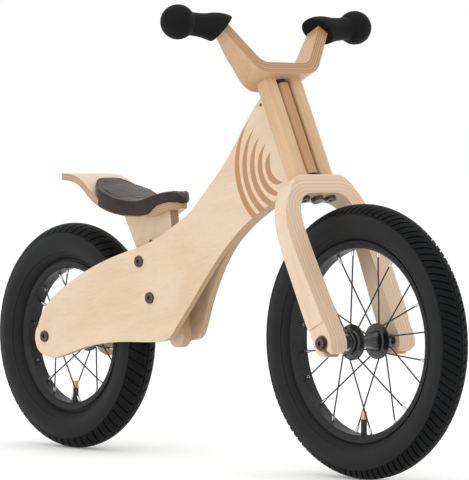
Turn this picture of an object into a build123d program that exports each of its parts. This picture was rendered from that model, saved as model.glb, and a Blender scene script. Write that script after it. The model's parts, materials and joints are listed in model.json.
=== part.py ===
"""Wooden balance bike: bentwood fork and bars, plywood frame, two spoked wheels."""
import os
from math import cos, radians, sin, sqrt, tan

from build123d import *

os.makedirs("parts", exist_ok=True)

# ---- driving dimensions, mm -------------------------------------------------
# +X forward, +Y to the rider's left, +Z up, ground at Z = 0
FRONT_WHEEL_R = 175.0
FRONT_BEAD_R = 127.0
FRONT_TYRE_SECTION_R = 24.5
REAR_WHEEL_R = 156.0
REAR_BEAD_R = 101.5
REAR_TYRE_SECTION_R = 26.5
WHEELBASE = 581.0
OVERALL_LENGTH = FRONT_WHEEL_R + WHEELBASE + REAR_WHEEL_R
REAR_AXLE_X = REAR_WHEEL_R - OVERALL_LENGTH / 2
FRONT_AXLE_X = REAR_AXLE_X + WHEELBASE

HEAD_LEAN = 26.85
# gap in a running fit, clearance of a bolt hole, gap between neighbouring pieces
TOUCH = 0.05
BOLT_PLAY = 0.2
SKIN = 0.3

# frame boards
BOARD_T = 9.5
BOARD_TOE_IN = 6.05
BOARD_REAR_HALF = 56.0
BOARD_FRONT_N = -24.0
BOARD_NOSE_LOW_H = 234.0
BOARD_NOSE_TOP_H = 364.0

# head post, in head coordinates: h up the steering axis, n forward of it
POST_LOW_H = 234.0
POST_TOP_H = 364.0
POST_NOSE_R = 11.0
POST_TAIL_HALF = 6.0
ROD_R = 5.0
ROD_SHORT = 1.5
ROD_NUT_R = 8.5
ROD_NUT_T = 6.0
BUSH_R = 7.0
BUSH_DEPTH = 18.0
BUSH_FLANGE_R = 9.5
BUSH_FLANGE_T = 2.5
TENON_HALF = 2.5
TENON_BACK_N = -58.0
TENON_LOW_H = 246.0
TENON_TOP_H = 358.0
PIN_R = 2.2
PIN_H = 353.9239
PIN_N = -34.9119

# fork
CROWN_TOP_H = 228.0
CROWN_T = 25.0
LEG_BOTTOM_H = -17.0
SLOT_PLAY = 0.1
FOOT_H = 5.0
FOOT_CHAMFER = 5.0
FOOT_CHAMFER_IN = 4.0
LEG_OUTER_AT_AXLE = 73.5
LEG_INNER_AT_AXLE = 46.0
BAR_LOW_H = 370.0

# struts
STRUT_D = 24.0
STRUT_W = 20.0
STRUT_CORNER_R = 6.0
STRUT_OFFSET = 22.3
STRUT_BOLT_R = 4.0
STRUT_BOLT_GRIP = 42.0
STRUT_BOLT_HEAD_R = 7.5
STRUT_BOLT_HEAD_T = 4.5
STRUT_SOCKET_R = 3.2
STRUT_SOCKET_DEPTH = 2.6

# handlebar
BAR_T = 16.0
BAR_CORNER = 48.3
BAR_ARM_ANGLE = 54.4
BAR_ARM_LENGTH = 84.0
BAR_INNER_BEND_R = 22.0
BAR_FRONT_N = 24.0
GRIP_N = 14.5
GRIP_BALL_R = 22.5
GRIP_BALL_Y = 155.0
GRIP_BALL_H = 446.0
GRIP_CORE_R = 8.0

# seat post and saddle
BLADE_T = 14.4
SEAT_BOLT_R = 3.0
SEAT_SLEEVE_R = 4.8
SEAT_HEAD_R = 7.5
SEAT_HEAD_T = 4.0
HEAD_RECESS = 1.9
SOCKET_R = 2.9
SOCKET_DEPTH = 2.4
SEAT_BOLT_SHORT = 8.0
SPACER_R = 9.5
SPARE_HOLE_PITCH = 28.0
SHELL_T = 9.5
PAD_SKIRT = 3.0
SCREW_R = 2.0
SCREW_HEAD_R = 4.0
SCREW_HEAD_T = 3.0
SCREW_SINK = 4.0
SCREW_L = 30.0
BLIND_END = 1.5
TIP_GAP = 2.0

# axles and hubs
AXLE_R = 4.0
AXLE_SHORT = 1.5
AXLE_BOLT_R = 2.5
AXLE_BOLT_LENGTH = 14.0
WASHER_R = 10.0
WASHER_T = 1.5
SLEEVE_R = 8.5
BEARING_R = 11.0
BEARING_W = 7.0
HUB_HALF = 31.5
HUB_BORE_R = 5.2
FLANGE_R = 23.0
FLANGE_Y = 20.5
FLANGE_T = 3.0
SPOKES = 20
SPOKE_R = 1.0
SPOKE_PROUD = 0.7
SPOKE_ROOT_R = 21.6
SPOKE_TWIST = 10.0
SPOKE_RIM_Y = 4.0
NIPPLE_R = 2.0
NIPPLE_L = 9.0
RIM_HALF = 12.8
RIM_WALL = 1.9
RIM_LIP = 1.0
RIM_DEPTH = 8.2
RIM_WELL_DROP = 5.2
RIM_WELL_HALF = 5.5
RIM_SHELF_Y = 7.0
RIM_BED_HALF = 9.6
VALVE_R = 3.9
VALVE_L = 20.0
CAP_L = 10.0
CAP_R = 4.1

REAR_CENTRE = (REAR_AXLE_X, 0, REAR_WHEEL_R)
FRONT_CENTRE = (FRONT_AXLE_X, 0, FRONT_WHEEL_R)
LEAN_SIN = sin(radians(HEAD_LEAN))
LEAN_COS = cos(radians(HEAD_LEAN))
AXIS_UP = (-LEAN_SIN, 0, LEAN_COS)
AXIS_FORWARD = (LEAN_COS, 0, LEAN_SIN)
TOE_TAN = tan(radians(BOARD_TOE_IN))


def head_point(h, n=0.0, y=0.0):
    """Point h up the steering axis from the front axle, n forward of it, y to the left."""
    x = FRONT_AXLE_X - LEAN_SIN * h + LEAN_COS * n
    z = FRONT_WHEEL_R + LEAN_COS * h + LEAN_SIN * n
    return (x, y, z)


def head_xz(h, n=0.0):
    point = head_point(h, n)
    return (point[0], point[2])


def front_plane(n=0.0):
    """Looking back at the fork: local x is Y, local y runs up the steering axis."""
    return Plane(origin=head_point(0, n), x_dir=(0, 1, 0), z_dir=AXIS_FORWARD)


def cross_plane(h, y=0.0):
    """Square to the steering axis at height h: local x is forward, local y is Y."""
    return Plane(origin=head_point(h, 0, y), x_dir=AXIS_FORWARD, z_dir=AXIS_UP)


def side_plane():
    """Side view of the fork: local x is forward of the axis, local y is up it."""
    return Plane(origin=FRONT_CENTRE, x_dir=AXIS_FORWARD, z_dir=(0, -1, 0))


def across_plane(centre, y=0.0):
    """Square to a wheel axle: local x is X, local y is Z, normal points to -Y."""
    return Plane(origin=(centre[0], y, centre[2]), x_dir=(1, 0, 0), z_dir=(0, -1, 0))


def turning_plane(centre):
    """Half section through a wheel: local x is Y, local y is the radius."""
    return Plane(origin=centre, x_dir=(0, 1, 0), z_dir=(1, 0, 0))


def board_outer(x):
    """Half distance over the outer faces of the two boards at X."""
    return BOARD_REAR_HALF - (x - REAR_AXLE_X) * TOE_TAN


def board_inner(x):
    return board_outer(x) - BOARD_T


def save(part, label):
    part.label = label
    export_step(part, f"parts/{label}.step")


# ---- the frame --------------------------------------------------------------
# outline of a board, distance forward of the rear axle and height above the ground
BOARD_TOP = [(-13, 171), (9.5, 205.5), (34, 224), (68, 243.5), (112, 263), (156, 277.5),
             (191, 288), (226, 304.5), (256, 325.5), (288.5, 362), (325, 404), (367.5, 460)]
BOARD_UNDER = [(421, 351.5), (378, 328.5), (322, 285.5), (278, 229.5), (244.5, 176.5),
               (236, 165.5), (226, 160.3), (212, 157.8), (174, 156), (129, 153.5),
               (99, 149.5), (68.5, 142), (38, 132), (19.5, 127)]
# the boards run straight to here, bend in through these and then lie face to face
BOARD_STRAIGHT = 228
BOARD_BEND = [(246, 28.3), (262, 22.0), (280, 17.0), (300, 12.7), (322, 10.2), (345, 9.5)]
SEAT_BOLTS = [(178.2, 264.5), (198.6, 216.2)]


def rear_to_row(points):
    return [(x + REAR_AXLE_X, z) for x, z in points]


def board(side):
    """One bent plywood side board; side is -1 right or 1 left."""
    nose_top = head_xz(BOARD_NOSE_TOP_H, BOARD_FRONT_N)
    nose_low = head_xz(BOARD_NOSE_LOW_H, BOARD_FRONT_N)
    top = rear_to_row(BOARD_TOP)
    under = rear_to_row(BOARD_UNDER)
    tail = [under[-1], *rear_to_row([(4, 128.5), (-13, 138), (-18.5, 154)]), top[0]]
    back = REAR_AXLE_X - 40
    straight = REAR_AXLE_X + BOARD_STRAIGHT
    outer = [(straight, side * board_outer(straight)),
             *[(x, side * y) for x, y in rear_to_row(BOARD_BEND)]]
    inner = [(x, y - side * BOARD_T) for x, y in outer]
    with BuildPart() as panel:
        with BuildSketch(Plane.XZ):
            with BuildLine():
                Spline(*top, nose_top)
                Line(nose_top, nose_low)
                Spline(nose_low, *under)
                Spline(*tail)
            make_face()
        extrude(amount=-side * BOARD_REAR_HALF * 2)
        with BuildSketch(Plane.XY):
            with BuildLine():
                Line((back, side * board_outer(back)), outer[0])
                Spline(*outer, tangents=[(1, -side * TOE_TAN), (1, 0)])
                Polyline(outer[-1], (FRONT_AXLE_X, outer[-1][1]), (FRONT_AXLE_X, inner[-1][1]),
                         inner[-1])
                Spline(*inner, tangents=[(1, -side * TOE_TAN), (1, 0)])
                Polyline(inner[0], (back, side * board_inner(back)),
                         (back, side * board_outer(back)))
            make_face()
        extrude(amount=FRONT_WHEEL_R * 4, mode=Mode.INTERSECT)
        for x, z in rear_to_row(SEAT_BOLTS):
            bolt_seat(side, x, z, SEAT_SLEEVE_R + TOUCH)
        bolt_seat(side, REAR_AXLE_X, REAR_WHEEL_R, AXLE_R + TOUCH)
        with BuildSketch(across_plane(head_point(PIN_H, PIN_N))):
            Circle(PIN_R)
        extrude(amount=BOARD_T * 2, both=True, mode=Mode.SUBTRACT)
        with BuildSketch(cross_plane(TENON_LOW_H)):
            tenon_outline()
        extrude(amount=TENON_TOP_H - TENON_LOW_H, mode=Mode.SUBTRACT)
    return panel.part


def tenon_outline():
    with Locations(((BOARD_FRONT_N + TENON_BACK_N) / 2, 0)):
        Rectangle(BOARD_FRONT_N - TENON_BACK_N, 2 * TENON_HALF)


def bolt_seat(side, x, z, hole_r):
    """Through hole and shallow flat seat for a bolt head in the open board."""
    with BuildSketch(across_plane((x, 0, z))) as hole:
        Circle(hole_r)
    extrude(hole.sketch, amount=-side * (BOARD_REAR_HALF + BOARD_T), mode=Mode.SUBTRACT)
    seat_y = side * (board_outer(x) - HEAD_RECESS)
    with BuildSketch(across_plane((x, 0, z), seat_y)) as recess:
        Circle(SEAT_HEAD_R + SKIN)
    extrude(recess.sketch, amount=-side * BOARD_T, mode=Mode.SUBTRACT)


def head_post():
    """Rounded post between the struts, bored for the steering rod and its bushes."""
    with BuildPart() as post:
        with BuildSketch(cross_plane(POST_LOW_H)):
            Circle(POST_NOSE_R)
            with Locations((BOARD_FRONT_N / 2, 0)):
                Rectangle(-BOARD_FRONT_N, 2 * POST_TAIL_HALF)
        extrude(amount=POST_TOP_H - POST_LOW_H)
        with BuildSketch(cross_plane(TENON_LOW_H)):
            tenon_outline()
        extrude(amount=TENON_TOP_H - TENON_LOW_H)
        with BuildSketch(cross_plane(POST_LOW_H)):
            Circle(ROD_R + SKIN)
        extrude(amount=POST_TOP_H - POST_LOW_H, mode=Mode.SUBTRACT)
        for h in (POST_LOW_H, POST_TOP_H - BUSH_DEPTH):
            with BuildSketch(cross_plane(h)):
                Circle(BUSH_R)
            extrude(amount=BUSH_DEPTH, mode=Mode.SUBTRACT)
    return post.part


def head_bushes():
    with BuildPart() as bushes:
        for h, flange_h in ((POST_LOW_H, POST_LOW_H - BUSH_FLANGE_T),
                            (POST_TOP_H - BUSH_DEPTH, POST_TOP_H)):
            with BuildSketch(cross_plane(h)):
                Circle(BUSH_R)
                Circle(ROD_R + TOUCH, mode=Mode.SUBTRACT)
            extrude(amount=BUSH_DEPTH)
            with BuildSketch(cross_plane(flange_h)):
                Circle(BUSH_FLANGE_R)
                Circle(ROD_R + TOUCH, mode=Mode.SUBTRACT)
            extrude(amount=BUSH_FLANGE_T)
    return bushes.part


def head_pins():
    """Small dark pins through the board tips onto the tenon."""
    length = BOARD_T - TENON_HALF
    with BuildPart() as pins:
        for side in (-1, 1):
            with BuildSketch(across_plane(head_point(PIN_H, PIN_N), side * BOARD_T)):
                Circle(PIN_R)
            extrude(amount=side * length)
    return pins.part


save(board(-1), "frame_panel_right")
save(board(1), "frame_panel_left")
save(head_post(), "head_post")
save(head_bushes(), "head_bushes")
save(head_pins(), "head_pins")

# ---- saddle and seat post ---------------------------------------------------
# underside of the bent saddle shell, distance forward of the rear axle and height
SHELL_UNDER = [(6, 371), (25, 371), (44, 368.5), (64, 359.5), (89, 343), (110, 333.5),
               (130, 327.5), (150, 324.5), (170, 324), (186, 327), (200, 331.5), (216, 335.5),
               (230, 336.5)]
SHELL_PLAN = [(6.5, 0), (6.8, 22), (10.5, 36), (20, 40.5), (45, 41.5), (75, 44), (100, 45),
              (125, 42), (150, 36), (175, 29), (200, 20.5), (214, 14.5), (224, 8.5), (229, 0)]
PAD_TOP = [(62, 374), (66, 376), (78, 371), (100, 361.5), (124, 352.5), (150, 346.5),
           (172, 347.5), (190, 353.5), (205, 358.5), (218, 359.5), (228, 354), (233, 346)]
PAD_PLAN = [(62, 0), (65, 12), (73, 25), (84, 36), (99, 46), (125, 45.5), (150, 39.5),
            (175, 32.5), (200, 24), (216, 17), (227.5, 9.5), (232.5, 0)]
PAD_SKIRT_END = 190.0
BLADE_FOOT = [(208.5, 165), (212, 154), (221, 150), (231, 154), (236.8, 167)]
BLADE_TOP_REAR = (100.6, 341.0)
BLADE_TOP_FRONT = (205.0, 341.0)


def offset_up(points, gap):
    """Points moved square to the local slope by gap."""
    moved = []
    for i, (x, z) in enumerate(points):
        before = points[max(i - 1, 0)]
        after = points[min(i + 1, len(points) - 1)]
        run = after[0] - before[0]
        rise = after[1] - before[1]
        length = sqrt(run * run + rise * rise)
        moved.append((x - rise / length * gap, z + run / length * gap))
    return moved


def plan_sketch(points, grow=0.0):
    """Symmetric plan outline from points on its left half."""
    row = rear_to_row(points)
    half = [(x, y + grow) for x, y in row[1:-1]]
    right = [(x, -y) for x, y in reversed(half)]
    with BuildLine() as outline:
        Spline((row[0][0] - grow, 0), *half, (row[-1][0] + grow, 0), *right, periodic=True)
    make_face(outline.edges())


def shell_section(low, high):
    """Side outline between two curves."""
    with BuildLine() as outline:
        Spline(*low)
        Line(low[-1], high[-1])
        Spline(*high)
        Line(high[0], low[0])
    make_face(outline.edges())


def saddle_shell():
    low = rear_to_row(SHELL_UNDER)
    with BuildPart() as shell:
        with BuildSketch(Plane.XZ):
            shell_section(low, offset_up(low, SHELL_T))
        extrude(amount=BOARD_REAR_HALF, both=True)
        with BuildSketch(Plane.XY):
            plan_sketch(SHELL_PLAN)
        extrude(amount=FRONT_WHEEL_R * 3, mode=Mode.INTERSECT)
        for x, z in saddle_screw_points():
            with BuildSketch(Plane(origin=(x, 0, z))):
                Circle(SCREW_R + BOLT_PLAY)
            extrude(amount=SHELL_T * 2, both=True, mode=Mode.SUBTRACT)
            with BuildSketch(Plane(origin=(x, 0, z + SHELL_T - SCREW_SINK))):
                Circle(SCREW_HEAD_R + SKIN)
            extrude(amount=SHELL_T, mode=Mode.SUBTRACT)
    return shell.part


def saddle_screw_points():
    return [(x + REAR_AXLE_X, z) for x, z in (SHELL_UNDER[6], SHELL_UNDER[8])]


def saddle_screws():
    with BuildPart() as screws:
        for x, z in saddle_screw_points():
            with BuildSketch(Plane(origin=(x, 0, z + SHELL_T - SCREW_SINK))):
                Circle(SCREW_HEAD_R)
            extrude(amount=SCREW_HEAD_T)
            with BuildSketch(Plane(origin=(x, 0, z + SHELL_T - SCREW_SINK))):
                Circle(SCREW_R)
            extrude(amount=-SCREW_L)
    return screws.part


def saddle_clearance():
    """Everything under the shell's top face, a little larger than the shell."""
    low = rear_to_row(SHELL_UNDER)
    top = offset_up(low, SHELL_T + SKIN)
    top = [(top[0][0] - 2, top[0][1]), *top[1:-1], (top[-1][0] + 2, top[-1][1])]
    floor = top[-1][1] - SHELL_T * 5
    with BuildPart() as clear:
        with BuildSketch(Plane.XZ):
            with BuildLine():
                Spline(*top)
                Polyline(top[-1], (top[-1][0], floor), (top[0][0], floor), top[0])
            make_face()
        extrude(amount=BOARD_REAR_HALF, both=True)
        with BuildSketch(Plane.XY):
            plan_sketch(SHELL_PLAN, SKIN)
        extrude(amount=FRONT_WHEEL_R * 3, mode=Mode.INTERSECT)
    return clear.part


def saddle_pad():
    """Padded leather cover, a closed cushion with a skirt over the shell's edge."""
    low = rear_to_row(SHELL_UNDER)
    top = rear_to_row(PAD_TOP)
    skirt_end = PAD_SKIRT_END + REAR_AXLE_X
    skirt = [(x, z) for x, z in low if top[0][0] < x < skirt_end]
    nose = [(x, z) for x, z in offset_up(low, SHELL_T) if skirt_end < x < top[-1][0] - 6]
    nose.append((top[-1][0] - 1, top[-1][1] - PAD_SKIRT))
    with BuildPart() as pad:
        with BuildSketch(Plane.XZ):
            with BuildLine():
                Spline(*top)
                Polyline(top[-1], *reversed(nose), *reversed(skirt), top[0])
            make_face()
        extrude(amount=BOARD_REAR_HALF, both=True)
        with BuildSketch(Plane.XY):
            plan_sketch(PAD_PLAN)
        extrude(amount=FRONT_WHEEL_R * 3, mode=Mode.INTERSECT)
        add(saddle_clearance(), mode=Mode.SUBTRACT)
    return pad.part


def seat_post():
    """Tapered plywood blade, its top edge cut to the saddle's curve."""
    low = rear_to_row(SHELL_UNDER)
    top = rear_to_row([BLADE_TOP_REAR, BLADE_TOP_FRONT])
    foot = rear_to_row(BLADE_FOOT)
    screw_reach = SCREW_L - SHELL_T + SCREW_SINK + BLIND_END
    with BuildPart() as blade:
        with BuildSketch(Plane.XZ):
            with BuildLine():
                Line(top[0], foot[0])
                Spline(*foot)
                Line(foot[-1], top[1])
                Line(top[1], top[0])
            make_face()
        extrude(amount=BLADE_T / 2, both=True)
        with BuildSketch(Plane.XZ):
            shell_section(low, offset_up(low, SHELL_T * 3))
        extrude(amount=BLADE_T, both=True, mode=Mode.SUBTRACT)
        for x, z in rear_to_row(blade_holes()):
            with BuildSketch(across_plane((x, 0, z))):
                Circle(SEAT_BOLT_R + BOLT_PLAY)
            extrude(amount=BLADE_T, both=True, mode=Mode.SUBTRACT)
        for x, z in saddle_screw_points():
            with BuildSketch(Plane(origin=(x, 0, z - screw_reach))):
                Circle(SCREW_R + TOUCH)
            extrude(amount=FRONT_WHEEL_R, mode=Mode.SUBTRACT)
    return blade.part


def blade_holes():
    """Two bolt holes, one spare above them and one between, on one straight line."""
    (x0, z0), (x1, z1) = SEAT_BOLTS
    pitch = sqrt((x1 - x0) ** 2 + (z1 - z0) ** 2)
    up_x = (x0 - x1) / pitch
    up_z = (z0 - z1) / pitch
    spare = (x0 + up_x * SPARE_HOLE_PITCH, z0 + up_z * SPARE_HOLE_PITCH)
    middle = ((x0 + x1) / 2, (z0 + z1) / 2)
    return [(x0, z0), (x1, z1), spare, middle]


def seat_spacers():
    """Tubes from the blade to each board, their outer ends cut to the toe-in."""
    with BuildPart() as spacers:
        for x, z in rear_to_row(SEAT_BOLTS):
            with BuildSketch(across_plane((x, 0, z))):
                Circle(SPACER_R)
                Circle(SEAT_SLEEVE_R + TOUCH, mode=Mode.SUBTRACT)
            extrude(amount=BOARD_REAR_HALF, both=True)
        with BuildSketch(Plane.XY):
            for side in (-1, 1):
                with BuildLine():
                    ahead = REAR_AXLE_X + BOARD_STRAIGHT
                    Polyline((REAR_AXLE_X, side * BLADE_T / 2), (ahead, side * BLADE_T / 2),
                             (ahead, side * board_inner(ahead)),
                             (REAR_AXLE_X, side * board_inner(REAR_AXLE_X)), close=True)
                make_face()
        extrude(amount=FRONT_WHEEL_R * 3, mode=Mode.INTERSECT)
    return spacers.part


def seat_bolts():
    """Socket heads seated in the right board, shanks into the sleeve nuts."""
    with BuildPart() as bolts:
        for x, z in rear_to_row(SEAT_BOLTS):
            seat = -(board_outer(x) - HEAD_RECESS)
            bolt_head((x, 0, z), seat, -1)
            with BuildSketch(across_plane((x, 0, z), seat)):
                Circle(SEAT_BOLT_R)
            extrude(amount=2 * seat + SEAT_BOLT_SHORT)
    return bolts.part


def bolt_head(centre, seat, side, head_t=SEAT_HEAD_T):
    """Round head with a hexagon socket, its underside at Y = seat."""
    with BuildSketch(across_plane(centre, seat)) as head:
        Circle(SEAT_HEAD_R)
    extrude(head.sketch, amount=-side * head_t)
    with BuildSketch(across_plane(centre, seat + side * head_t)) as socket:
        RegularPolygon(radius=SOCKET_R, side_count=6)
    extrude(socket.sketch, amount=side * SOCKET_DEPTH, mode=Mode.SUBTRACT)


def seat_nuts():
    """Sleeve nuts let into the left board."""
    with BuildPart() as nuts:
        for x, z in rear_to_row(SEAT_BOLTS):
            seat = board_outer(x) - HEAD_RECESS
            bolt_head((x, 0, z), seat, 1)
            with BuildSketch(across_plane((x, 0, z), seat)):
                Circle(SEAT_SLEEVE_R)
            extrude(amount=seat - BLADE_T / 2 - TIP_GAP)
            with BuildSketch(across_plane((x, 0, z), seat)):
                Circle(SEAT_BOLT_R + TOUCH)
            extrude(amount=seat, mode=Mode.SUBTRACT)
    return nuts.part


save(saddle_shell(), "saddle_shell")
save(saddle_pad(), "saddle_pad")
save(saddle_screws(), "saddle_screws")
save(seat_post(), "seat_post")
save(seat_spacers(), "seat_spacers")
save(seat_bolts(), "seat_bolts")
save(seat_nuts(), "seat_nuts")

# ---- fork, struts and handlebar ---------------------------------------------
# outer and inner edge of the left leg seen from the front: (Y, height up the axis)
FORK_OUTER = [(30, 228), (50, 216), (67, 192), (77, 165), (80, 130), (78, 80), (74.5, 25)]
FORK_INNER = [(20, 203), (38, 196.5), (47, 179), (49.5, 150), (49, 100), (47, 45)]
# half depth of the fork against height up the axis
FORK_DEPTH = [(229, 17), (212, 16.5), (190, 13), (165, 11.5), (135, 11.5), (95, 12.8),
              (50, 14.5), (10, 15.5)]
# the rounded foot below that: (half depth, height)
FOOT_SIDE = [(14, -8), (7.5, -16.2)]


def fork():
    """Bentwood fork: a laminated arch with open slots for the axle."""
    foot_outer = (LEG_OUTER_AT_AXLE, FOOT_H)
    foot_inner = (LEG_INNER_AT_AXLE, FOOT_H)
    outer = [*FORK_OUTER, foot_outer]
    inner = [*FORK_INNER, foot_inner]
    crown_low = (0, CROWN_TOP_H - CROWN_T)
    with BuildPart() as legs:
        with BuildSketch(front_plane()):
            with BuildLine():
                Line((0, CROWN_TOP_H), outer[0])
                Spline(*outer, tangents=[(1, 0), (0, -1)])
                Polyline(foot_outer, (LEG_OUTER_AT_AXLE, LEG_BOTTOM_H + FOOT_CHAMFER),
                         (LEG_OUTER_AT_AXLE - FOOT_CHAMFER, LEG_BOTTOM_H),
                         (LEG_INNER_AT_AXLE + FOOT_CHAMFER_IN, LEG_BOTTOM_H),
                         (LEG_INNER_AT_AXLE, LEG_BOTTOM_H + FOOT_CHAMFER_IN), foot_inner)
                Spline(*reversed(inner), tangents=[(0, 1), (-1, 0)])
                Polyline(inner[0], crown_low, (0, CROWN_TOP_H))
            make_face()
            mirror(about=Plane.YZ)
        extrude(amount=LEG_OUTER_AT_AXLE, both=True)
        with BuildSketch(side_plane()):
            front = [(half, h) for h, half in FORK_DEPTH]
            foot = [front[-1], *FOOT_SIDE, (0, LEG_BOTTOM_H)]
            with BuildLine():
                Line((0, front[0][1]), front[0])
                Spline(*front)
                Spline(*foot)
                Line(foot[-1], (0, front[0][1]))
            make_face()
            mirror(about=Plane.YZ)
        extrude(amount=LEG_OUTER_AT_AXLE * 2, both=True, mode=Mode.INTERSECT)
        with BuildSketch(side_plane()):
            Circle(AXLE_R + SLOT_PLAY)
            with Locations((0, LEG_BOTTOM_H)):
                Rectangle(2 * (AXLE_R + SLOT_PLAY), -2 * LEG_BOTTOM_H)
        extrude(amount=LEG_OUTER_AT_AXLE * 2, both=True, mode=Mode.SUBTRACT)
        with BuildSketch(cross_plane(CROWN_TOP_H - CROWN_T)):
            Circle(ROD_R + TOUCH)
            with Locations((0, -STRUT_OFFSET), (0, STRUT_OFFSET)):
                Circle(STRUT_BOLT_R + TOUCH)
        extrude(amount=CROWN_T * 2, both=True, mode=Mode.SUBTRACT)
        with BuildSketch(cross_plane(CROWN_TOP_H - CROWN_T)):
            with Locations((0, -STRUT_OFFSET), (0, STRUT_OFFSET)):
                Circle(STRUT_BOLT_HEAD_R + SKIN)
        extrude(amount=-STRUT_BOLT_HEAD_R, mode=Mode.SUBTRACT)
        for side in (-1, 1):
            with BuildSketch(across_plane(FRONT_CENTRE, side * LEG_OUTER_AT_AXLE)):
                Circle(WASHER_R + SKIN)
            extrude(amount=-side * WASHER_R, mode=Mode.SUBTRACT)
    return legs.part


def strut(side):
    """Upright bar from the crown to the handlebar, bored at both ends."""
    with BuildPart() as bar:
        with BuildSketch(cross_plane(CROWN_TOP_H, side * STRUT_OFFSET)):
            RectangleRounded(STRUT_D, STRUT_W, STRUT_CORNER_R)
        extrude(amount=BAR_LOW_H - CROWN_TOP_H)
        for h, length in ((CROWN_TOP_H, STRUT_BOLT_GRIP), (BAR_LOW_H, -STRUT_BOLT_GRIP)):
            with BuildSketch(cross_plane(h, side * STRUT_OFFSET)):
                Circle(STRUT_BOLT_R + TOUCH)
            extrude(amount=length, mode=Mode.SUBTRACT)
    return bar.part


def strut_bolts(h_seat, up):
    """Pair of bolts through crown or handlebar into the struts; up is +1 or -1."""
    reach = CROWN_T if up > 0 else BAR_T - STRUT_BOLT_HEAD_T
    with BuildPart() as bolts:
        for side in (-1, 1):
            with BuildSketch(cross_plane(h_seat, side * STRUT_OFFSET)):
                Circle(STRUT_BOLT_HEAD_R)
            extrude(amount=-up * STRUT_BOLT_HEAD_T)
            tip = h_seat - up * STRUT_BOLT_HEAD_T
            with BuildSketch(cross_plane(tip, side * STRUT_OFFSET)):
                RegularPolygon(radius=STRUT_SOCKET_R, side_count=6)
            extrude(amount=up * STRUT_SOCKET_DEPTH, mode=Mode.SUBTRACT)
            with BuildSketch(cross_plane(h_seat, side * STRUT_OFFSET)):
                Circle(STRUT_BOLT_R)
            extrude(amount=up * (reach + STRUT_BOLT_GRIP - TIP_GAP))
    return bolts.part


# half width of the bar strip behind the steering axis against distance off centre
BAR_BACK = [(0, -30), (14, -30), (27, -27), (40, -21), (54, -14), (63, -9), (76, -3),
            (88, 5), (102, 8)]


def handlebar():
    """Bentwood bar: a flat strip bent up at both ends, cut back towards the grips."""
    angle = radians(BAR_ARM_ANGLE)
    inner_corner = BAR_CORNER - BAR_T * tan(angle / 2)
    low_end = (BAR_CORNER + BAR_ARM_LENGTH * cos(angle),
               BAR_LOW_H + BAR_ARM_LENGTH * sin(angle))
    top_end = (low_end[0] - BAR_T * sin(angle), low_end[1] + BAR_T * cos(angle))
    top_h = BAR_LOW_H + BAR_T
    with BuildPart() as bar:
        with BuildSketch(front_plane()):
            with BuildLine():
                FilletPolyline((-low_end[0], low_end[1]), (-BAR_CORNER, BAR_LOW_H),
                               (BAR_CORNER, BAR_LOW_H), low_end,
                               radius=BAR_INNER_BEND_R + BAR_T)
                Line(low_end, top_end)
                FilletPolyline(top_end, (inner_corner, top_h), (-inner_corner, top_h),
                               (-top_end[0], top_end[1]), radius=BAR_INNER_BEND_R)
                Line((-top_end[0], top_end[1]), (-low_end[0], low_end[1]))
            make_face()
        extrude(amount=BAR_FRONT_N * 2, both=True)
        with BuildSketch(cross_plane(BAR_LOW_H)):
            left = [(n, y) for y, n in BAR_BACK]
            right = [(n, -y) for y, n in BAR_BACK]
            with BuildLine():
                Spline(*reversed(right), *left[1:])
                Polyline(left[-1], (BAR_FRONT_N, left[-1][1]), (BAR_FRONT_N, right[-1][1]),
                         right[-1])
            make_face()
        extrude(amount=BAR_ARM_LENGTH * 2, both=True, mode=Mode.INTERSECT)
        with BuildSketch(cross_plane(BAR_LOW_H)):
            Circle(ROD_R + TOUCH)
            with Locations((0, -STRUT_OFFSET), (0, STRUT_OFFSET)):
                Circle(STRUT_BOLT_R + TOUCH)
        extrude(amount=BAR_T, mode=Mode.SUBTRACT)
        with BuildSketch(cross_plane(top_h - STRUT_BOLT_HEAD_T)):
            with Locations((0, -STRUT_OFFSET), (0, STRUT_OFFSET)):
                Circle(STRUT_BOLT_HEAD_R + TOUCH)
        extrude(amount=BAR_T, mode=Mode.SUBTRACT)
    return bar.part


# mouth of a grip seen from the front, and its radius against distance outboard of it
GRIP_MOUTH = (83.5, 439.0)
GRIP_MOUTH_SLOPE = 43.0
# ends of the dowel inside it: (Y, height up the axis)
CORE_START = (88, 442.5)
CORE_END = (138, 447.5)
GRIP_RADII = [(-14, 16.0), (-5, 18.8), (4, 19.4), (15, 18.6), (27, 16.4), (40, 15.2),
              (52, 15.3), (66, 17.5)]


def grip_solid(side):
    """Ball-ended grip, its inboard mouth cut across the rising bar."""
    mouth = Vector(head_point(GRIP_MOUTH[1], GRIP_N, side * GRIP_MOUTH[0]))
    ball = Vector(head_point(GRIP_BALL_H, GRIP_N, side * GRIP_BALL_Y))
    run = (ball - mouth).normalized()
    slope = radians(GRIP_MOUTH_SLOPE)
    outward = [side * sin(slope) * y + cos(slope) * up
               for y, up in zip((0, 1, 0), AXIS_UP)]
    with BuildPart() as grip:
        with BuildSketch(Plane(origin=mouth, x_dir=run, z_dir=AXIS_FORWARD)):
            with BuildLine():
                Spline(*GRIP_RADII)
                Polyline(GRIP_RADII[-1], (GRIP_RADII[-1][0], 0), (GRIP_RADII[0][0], 0),
                         GRIP_RADII[0])
            make_face()
        revolve(axis=Axis(mouth, run), revolution_arc=360)
        with Locations(ball):
            Sphere(GRIP_BALL_R)
        split(bisect_by=Plane(origin=mouth, z_dir=outward), keep=Keep.TOP)
    return grip.part


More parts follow.
